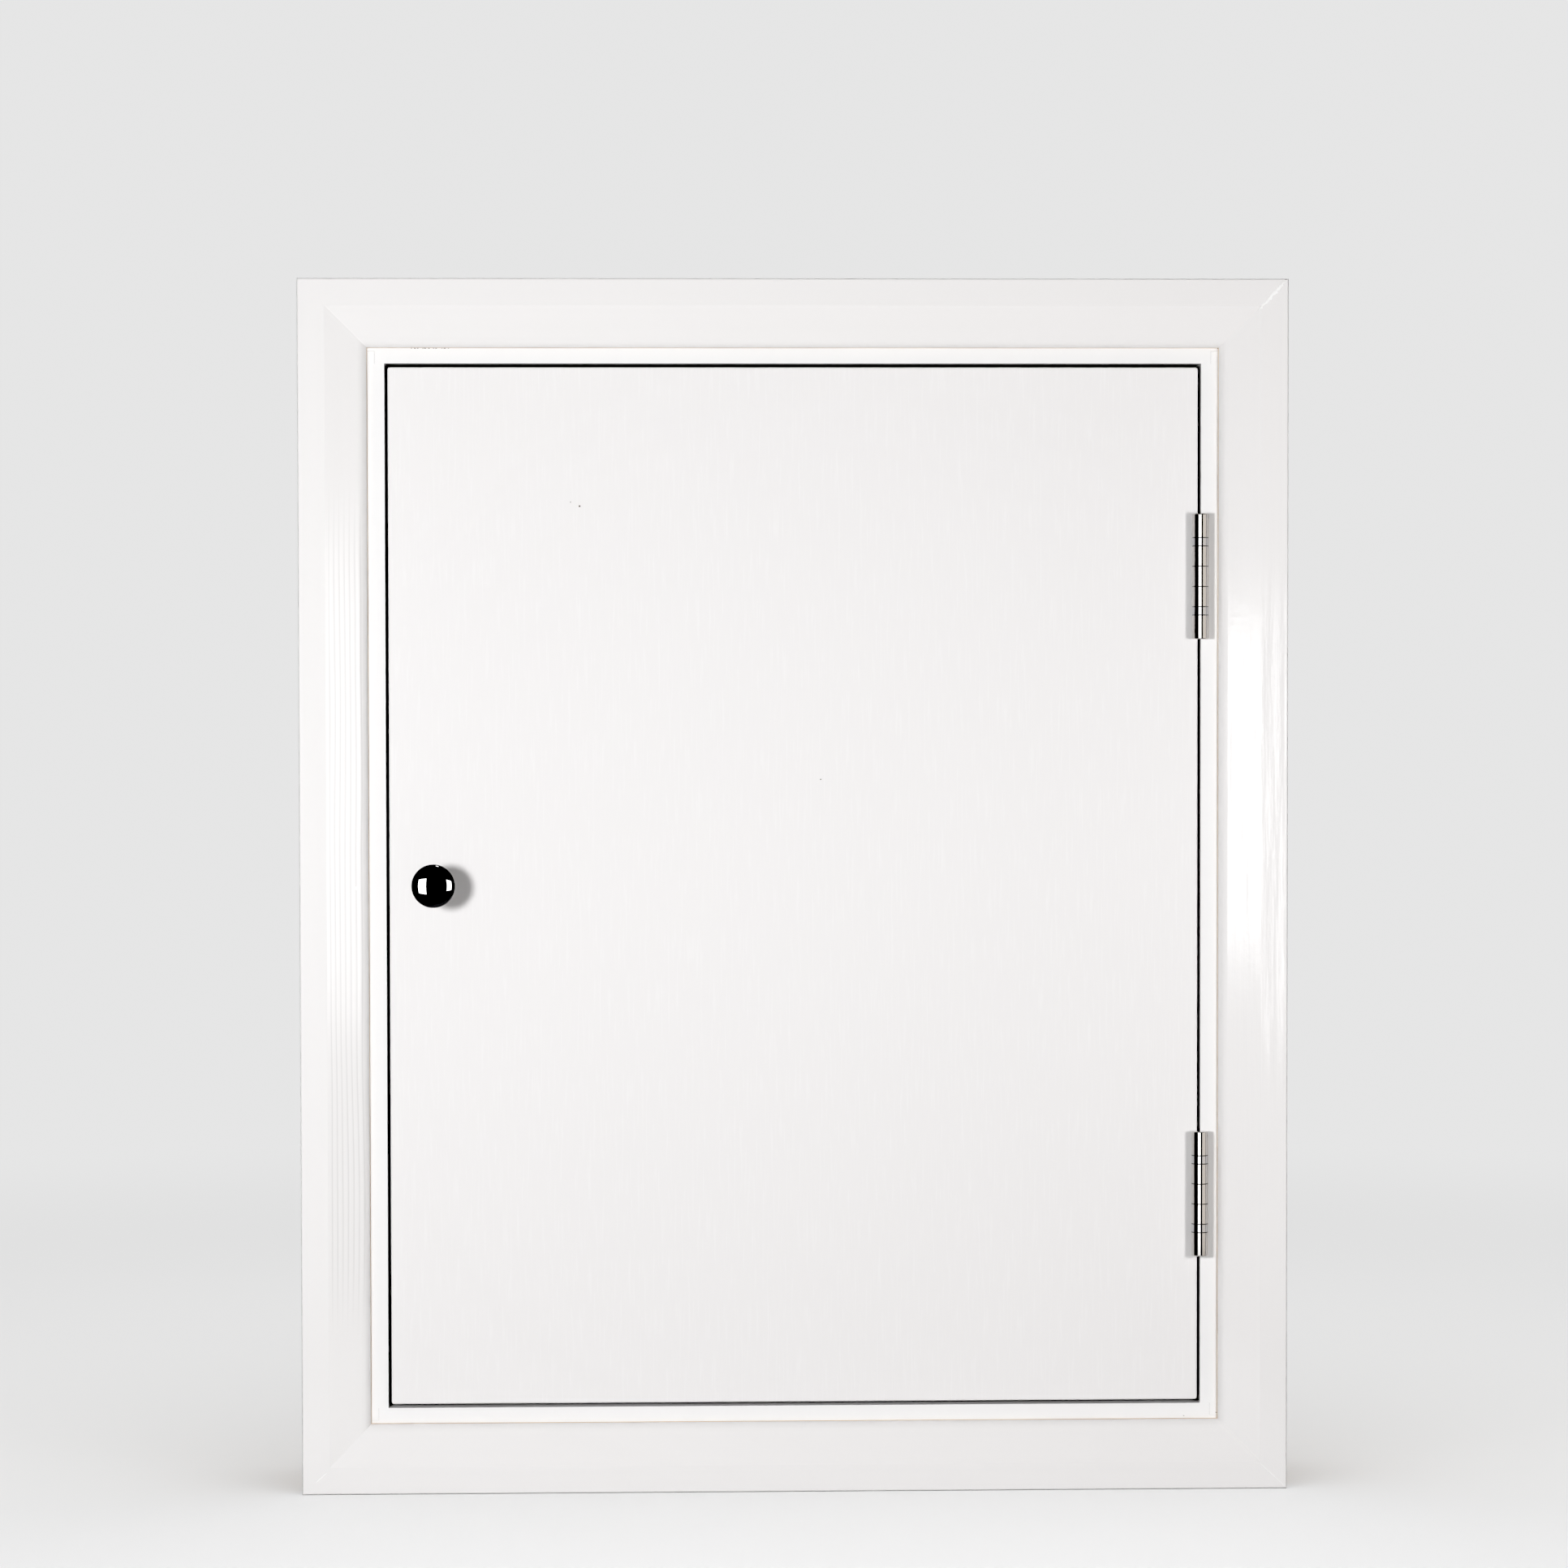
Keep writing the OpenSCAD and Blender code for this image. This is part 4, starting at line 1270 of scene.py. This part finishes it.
@dataclass(frozen=True)
class Band:
    """The bright band that a panel leaves in a polished round piece."""

    name: str
    start: float
    end: float
    low: float
    high: float
    radiance: float
    reach: float = 1.4
    tone: Tone = (1.0, 1.0, 1.0)

    def panel(self, middle: Sequence[float], pieces: Sequence[str]) -> Panel:
        """The panel that fills the band's directions.

        Args:
            middle: The middle of the polished piece.
            pieces: The pieces that it lights.

        Returns:
            The panel, which lights nothing else.
        """
        turns = [math.radians(turn) for turn in (self.start, self.end)]
        ends = [Vector((math.sin(t), -math.cos(t), 0)) * self.reach for t in turns]
        size = ((ends[1] - ends[0]).length, self.high - self.low)
        place = Vector(middle) + (ends[0] + ends[1]) / 2
        place.z += (self.low + self.high) / 2
        aim = Vector((middle[0], middle[1], place.z))
        power = self.radiance * math.pi * size[0] * size[1]
        return Panel(self.name, place, aim, size, power, self.tone, Link.ONLY, pieces)


HINGE_METAL = [
    f"{hinge}_hinge_{part}"
    for hinge in ("upper", "lower")
    for part in ("frame_plate", "door_plate", "pin", "tips", "bearing_cups", "bearing_races")
]
KNOB_METAL = ["knob_turned"]
FOIL = ["insulation_board", "insulation_washers_dished", "insulation_screws_cross", "keep_plate"]
FOIL += [f"foil_tape_{side}" for side in ("top", "bottom", "right", "left_upper", "left_lower", "notch")]


@dataclass
class Studio:
    """Camera, floor, backdrop and soft light."""

    eye: tuple[float, float, float] = (-0.1063, -3.5, 0.6754)
    pitch_down: float = 1.637
    yaw_right: float = 1.602
    roll: float = 0.094
    lens: float = 98.86
    sensor: float = 36.0
    pale: float = 0.80
    ambient: float = 0.04
    glint: float = 0.02
    black_point: float = 0.05
    floor_r: float = 9.0
    floor_tone: float = 0.86
    floor_bounce: float = 0.2
    floor_glow: float = 0.3
    fade: tuple[float, float] = (0.8, 2.6)
    mirror_fade: tuple[float, float] = (0.45, 0.8)
    knob_y: float = -27 * MM
    knob_top: Sequence[float] = (0.25, -0.4, 1.5)

    def build(self) -> None:
        """Makes the studio."""
        self._camera()
        self._backdrop()
        self._floor()
        for panel in self._panels():
            panel.build()

    def _camera(self) -> None:
        """Sets the camera at the photograph's angle."""
        lens = bpy.data.cameras.new("camera")
        lens.lens = self.lens
        lens.sensor_width = self.sensor
        lens.sensor_fit = "HORIZONTAL"
        camera = bpy.data.objects.new("camera", lens)
        yaw = Matrix.Rotation(math.radians(-self.yaw_right), 4, "Z")
        pitch = Matrix.Rotation(math.radians(90 - self.pitch_down), 4, "X")
        roll = Matrix.Rotation(math.radians(-self.roll), 4, "Z")
        camera.matrix_world = Matrix.Translation(self.eye) @ yaw @ pitch @ roll
        bpy.context.scene.collection.objects.link(camera)
        bpy.context.scene.camera = camera

    def _backdrop(self) -> None:
        """Makes the backdrop pale to look at, weak as light and dark in gloss, and sets the view."""
        shader = Shader("backdrop", "worlds")
        seen = shader.node("ShaderNodeLightPath", {}, {}, "Is Camera Ray")
        dull = shader.node("ShaderNodeLightPath", {}, {}, "Is Diffuse Ray")
        level = seen * (self.pale - self.glint) + dull * (self.ambient - self.glint) + self.glint
        glow = shader.node("ShaderNodeBackground", {}, {"Strength": level, "Color": rgba((1, 1, 1))})
        bpy.context.scene.world = shader.shown(glow, "ShaderNodeOutputWorld")
        view = bpy.context.scene.view_settings
        view.view_transform = "Standard"
        view.look = "None"
        view.use_curve_mapping = True
        view.curve_mapping.black_level = (self.black_point,) * 3
        view.curve_mapping.update()

    def _floor(self) -> None:
        """Lays a plain floor that fades into the backdrop."""
        shader = Shader("floor_pale")
        x, y, _ = shader.where.axes()
        radius = (x * x + y * y).root()
        bounce = shader.node("ShaderNodeLightPath", {}, {}, "Is Diffuse Ray")
        mirrored = shader.node("ShaderNodeLightPath", {}, {}, "Is Glossy Ray")
        tone = shader.mix(bounce, (self.floor_tone,) * 3, (self.floor_bounce,) * 3)
        tone = shader.mix(mirrored * radius.rise(*self.mirror_fade), tone, (0, 0, 0))
        matt = shader.node("ShaderNodeBsdfDiffuse", {}, {"Color": tone})
        far = shader.mix(bounce, (self.pale,) * 3, (self.ambient,) * 3)
        far = shader.mix(mirrored, far, (0, 0, 0))
        glow = shader.node("ShaderNodeEmission", {}, {"Color": far})
        share = radius.rise(*self.fade) * (1 - self.floor_glow) + self.floor_glow
        blend = shader.node("ShaderNodeMixShader", {}, {0: share, 1: matt, 2: glow})
        bm = bmesh.new()
        bmesh.ops.create_circle(bm, cap_ends=True, segments=96, radius=self.floor_r)
        mesh = bpy.data.meshes.new("floor")
        bm.to_mesh(mesh)
        bm.free()
        mesh.materials.append(shader.shown(blend))
        floor = bpy.data.objects.new("floor", mesh)
        bpy.context.scene.collection.objects.link(floor)

    def _panels(self) -> list[Panel]:
        """Soft lights for the paint, the back, the foil and the floor, and bands for the metal.

        Returns:
            The panels.
        """
        middle = (0, 0, 0.5)
        warm = (1.0, 0.985, 0.975)
        paint = {"link": Link.ALL_BUT, "pieces": [*KNOB_METAL, *HINGE_METAL, "floor"]}
        off_floor = {"link": Link.ALL_BUT, "pieces": [*KNOB_METAL, "floor"]}
        foil = {"link": Link.ONLY, "pieces": FOIL}
        panels = [
            Panel("key_left", (-0.92, -1.95, 0.65), middle, (0.3, 0.3), 32.3, gloss=False, **paint),
            Panel(
                "key_right", (1.25, -1.95, 0.60), middle, (0.4, 0.4), 22.3, warm, gloss=False,
                shadowless=KNOB_METAL, **paint,
            ),
            Panel("glint_left", (-1.57, -3.7, 0.45), middle, (0.45, 0.6), 5, dull=False, **paint),
            Panel("glint_right", (2.35, -3.75, 0.36), middle, (1.2, 1.1), 13, dull=False, **paint),
            Panel("sheen_left", (-0.62, -1.47, 0.52), (-0.3, 0, 0.55), (0.15, 0.5), 0.35, **paint),
            Panel("sheen_right", (1.02, -3.3, 0.42), middle, (0.28, 0.7), 3, dull=False, **paint),
            Panel("back_left", (-1.8, 2.2, 1.3), middle, (1.4, 1.6), 40, gloss=False, **off_floor),
            Panel("back_right", (1.8, 2.2, 1.1), middle, (1.4, 1.6), 40, gloss=False, **off_floor),
            Panel("back_top", (0, 1.3, 3), middle, (2.4, 1), 45, gloss=False, **off_floor),
            Panel("back_sheet", (0, 3.2, 1.0), middle, (8, 5), 75, dull=False, **off_floor),
            Panel("back_floor", (0, 2.4, 0.02), (0, 2.4, 1), (7, 4), 50, dull=False, **off_floor),
            Panel("front_sheet", (0, -3.9, 1.0), middle, (8, 5), 50, dull=False, **foil),
            Panel("front_floor", (0, -2.1, 0.02), (0, -2.1, 1), (7, 4), 34, dull=False, **foil),
            Panel("floor_top", (0, -0.5, 4), (0, 0, 0), (5, 5), 240, link=Link.ONLY, pieces=["floor"]),
        ]
        knob = middle_of("knob_bolt")
        knob.y = self.knob_y
        for band in (
            Band("knob_left", -34.5, -14.5, -0.42, 0.28, 22),
            Band("knob_right", 25, 50, -0.30, 0.27, 22),
        ):
            panels.append(band.panel(knob, KNOB_METAL))
        above = knob + Vector(self.knob_top)
        panels.append(Panel("knob_top", above, knob, (0.2, 0.2), 6, link=Link.ONLY, pieces=KNOB_METAL))
        hinge = middle_of("upper_hinge_pin")
        hinge.z = middle[2]
        for band in (
            Band("hinge_white", -31.5, 8, -0.8, 0.8, 2.2),
            Band("hinge_warm", 28, 79, -0.8, 0.8, 0.95, tone=(1.0, 0.94, 0.88)),
        ):
            panels.append(band.panel(hinge, HINGE_METAL))
        return panels


PLATED = {"scale": 150, "depth": 0.006 * MM, "roughness": 0.3, "sway": 0.18, "pits": 1400, "metallic": 1.0}
ZINC = Grained("zinc_plate", (0.66, 0.67, 0.69), (0.52, 0.53, 0.56), **PLATED)
YELLOW = Grained("yellow_zinc", (0.80, 0.66, 0.34), (0.62, 0.50, 0.30), **PLATED)
TAPE = Grained(
    "foil_tape", (0.86, 0.865, 0.87), (0.774, 0.7785, 0.783), 120, 0.15 * MM, 0.30, 0.16, (5.0, 0.7),
    patchy=False, metallic=1.0,
)
BEARING = Steel("bearing_steel", (0.60, 0.60, 0.61), roughness=0.05)


@dataclass
class Door:
    """The whole door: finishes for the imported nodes, and the pieces added to them."""

    steel: bpy.types.Material = field(default_factory=Steel("hinge_steel").build)
    bearing: bpy.types.Material = field(default_factory=BEARING.build)
    zinc: bpy.types.Material = field(default_factory=ZINC.build)
    yellow: bpy.types.Material = field(default_factory=YELLOW.build)
    bare_back: float = 1.6 * MM
    flat_w: float = 24.5 * MM
    rings_top: float = 830 * MM
    rings_foot: float = 120 * MM
    skin: float = 0.1 * MM
    specks: Sequence[Speck] = (
        Speck(-0.1739, 0.8011, 0.9 * MM), Speck(-0.1812, 0.8044, 0.45 * MM), Speck(0.0215, 0.579, 0.6 * MM),
    )

    def build(self) -> None:
        """Dresses the nodes and adds the pieces."""
        self._trim()
        self._lining()
        self._leaf()
        self._metal()
        self._soft()
        Knob(Lacquer("knob_lacquer").build()).build()
        Fixings(self.zinc, self.yellow).build()
        InsulationTape(TAPE.build()).build()
        # Painted highlight: the mitre filler is whiter than the trim's paint, for the glint on its ridge.
        filler = Grained("filler_painted_highlight", (0.99, 0.99, 0.985), (0.97, 0.97, 0.965), 300, 0.02 * MM, 0.16)
        # Painted shade: dark marks stand for the shade in small gaps at the joints.
        shadow = Grained("open_joint_shade", (0.22, 0.21, 0.20), (0.30, 0.29, 0.28))
        PaintMarks(filler.build(), shadow.build()).build()

    def _trim(self) -> None:
        """Paints the architrave and the stops."""
        front: dict[str, Any] = {"high": (None, -self.bare_back, None)}
        faint = Marks(16, 62, 0.12 * MM)
        strong = Marks(7, 150, 0.2 * MM)
        ragged = Marks(120, 300, 0.035 * MM)
        rings = Rings(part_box("architrave_left")[0].x + self.flat_w, self.rings_top, self.rings_foot)
        left = Paint("trim_left", Run.UPRIGHT, marks=(faint, GLOSS_BRUSH), rings=rings, **front)
        right = Paint("trim_right", Run.UPRIGHT, marks=(strong, ragged), **front)
        rails = Paint("trim_rails", Run.LEVEL, marks=(faint, GLOSS_BRUSH), **front)
        dress(left.build(), "architrave_left")
        dress(right.build(), "architrave_right")
        dress(rails.build(), "architrave_head", "architrave_sill", "architrave_fillers")
        dress(Paint("stop_upright", Run.UPRIGHT).build(), "stop_left", "stop_right")
        dress(Paint("stop_level", Run.LEVEL).build(), "stop_head", "stop_sill", "stop_fillers")

    def _lining(self) -> None:
        """Paints the lining boards inside, and leaves them bare where the wall hides them."""
        skin = self.skin
        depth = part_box("lining_left")[1].y - skin
        left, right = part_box("lining_left")[0].x + skin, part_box("lining_right")[1].x - skin
        floor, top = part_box("lining_sill")[0].z + skin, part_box("lining_head")[1].z - skin
        tone = (0.900, 0.896, 0.897)
        jambs = Paint("lining_jambs", Run.UPRIGHT, tone, low=(left, None, None), high=(right, depth, None))
        rails = Paint("lining_rails", Run.LEVEL, tone, low=(left, None, floor), high=(right, depth, top))
        dress(jambs.build(), "lining_left", "lining_right")
        dress(rails.build(), "lining_head", "lining_sill")

    def _leaf(self) -> None:
        """Paints the leaf's faces and edges."""
        tone = (0.872, 0.860, 0.860)
        streaks = Marks(28, 430, 0.045 * MM)
        # The 0.16 is the share of white in the face's painted highlight streaks.
        face = Paint("leaf_paint", Run.UPRIGHT, tone, 0.30, 0.16, (streaks, BRUSH), specks=self.specks)
        edge = Paint("leaf_edge_paint", Run.UPRIGHT, tone, 0.30, marks=(BRUSH,))
        ends = Paint("leaf_end_paint", Run.LEVEL, tone, 0.30, marks=(BRUSH,))
        dress(face.build(), "leaf_front_facing", "leaf_back_facing")
        dress(edge.build(), "leaf_lipping_left", "leaf_lipping_right")
        dress(ends.build(), "leaf_lipping_top", "leaf_lipping_bottom")
        dress(ChipBoard("leaf_core_chips").build(), "leaf_core")

    def _metal(self) -> None:
        """Finishes the hinges, the catch plates and the nails."""
        dress(self.steel, *(name for name in HINGE_METAL if "bearing" not in name))
        dress(self.bearing, *(name for name in HINGE_METAL if "bearing" in name))
        dress(self.bearing, "upper_hinge_balls", "lower_hinge_balls")
        dress(self.zinc, "architrave_nails", "stop_nails", "catch_poles", "keep_plate")
        dress(self.zinc, "knob_bolt", "knob_washer")

    def _soft(self) -> None:
        """Finishes the seals, the catch, the magnet and the insulation."""
        rubber = Grained("seal_rubber", (0.030, 0.030, 0.031), (0.055, 0.055, 0.056), 1100, 0.03 * MM, 0.62)
        plastic = Grained("catch_plastic", (0.86, 0.86, 0.85), (0.82, 0.82, 0.81), 1500, 0.008 * MM, 0.36)
        ferrite = Grained("magnet_ferrite", (0.075, 0.075, 0.08), (0.11, 0.11, 0.115), 2400, 0.02 * MM, 0.55)
        dress(rubber.build(), "seal_head", "seal_sill", "seal_left", "seal_right")
        dress(plastic.build(), "catch_body")
        dress(ferrite.build(), "catch_magnet")
        front, back = (corner.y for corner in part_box("insulation_board"))
        dress(FoilBoard("foil_board", front, back).build(), "insulation_board")


def main() -> None:
    """Builds the door and the studio."""
    logging.basicConfig(level=logging.INFO, format="%(message)s")
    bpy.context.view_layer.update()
    Door().build()
    Studio().build()


if __name__ == "__main__":
    main()
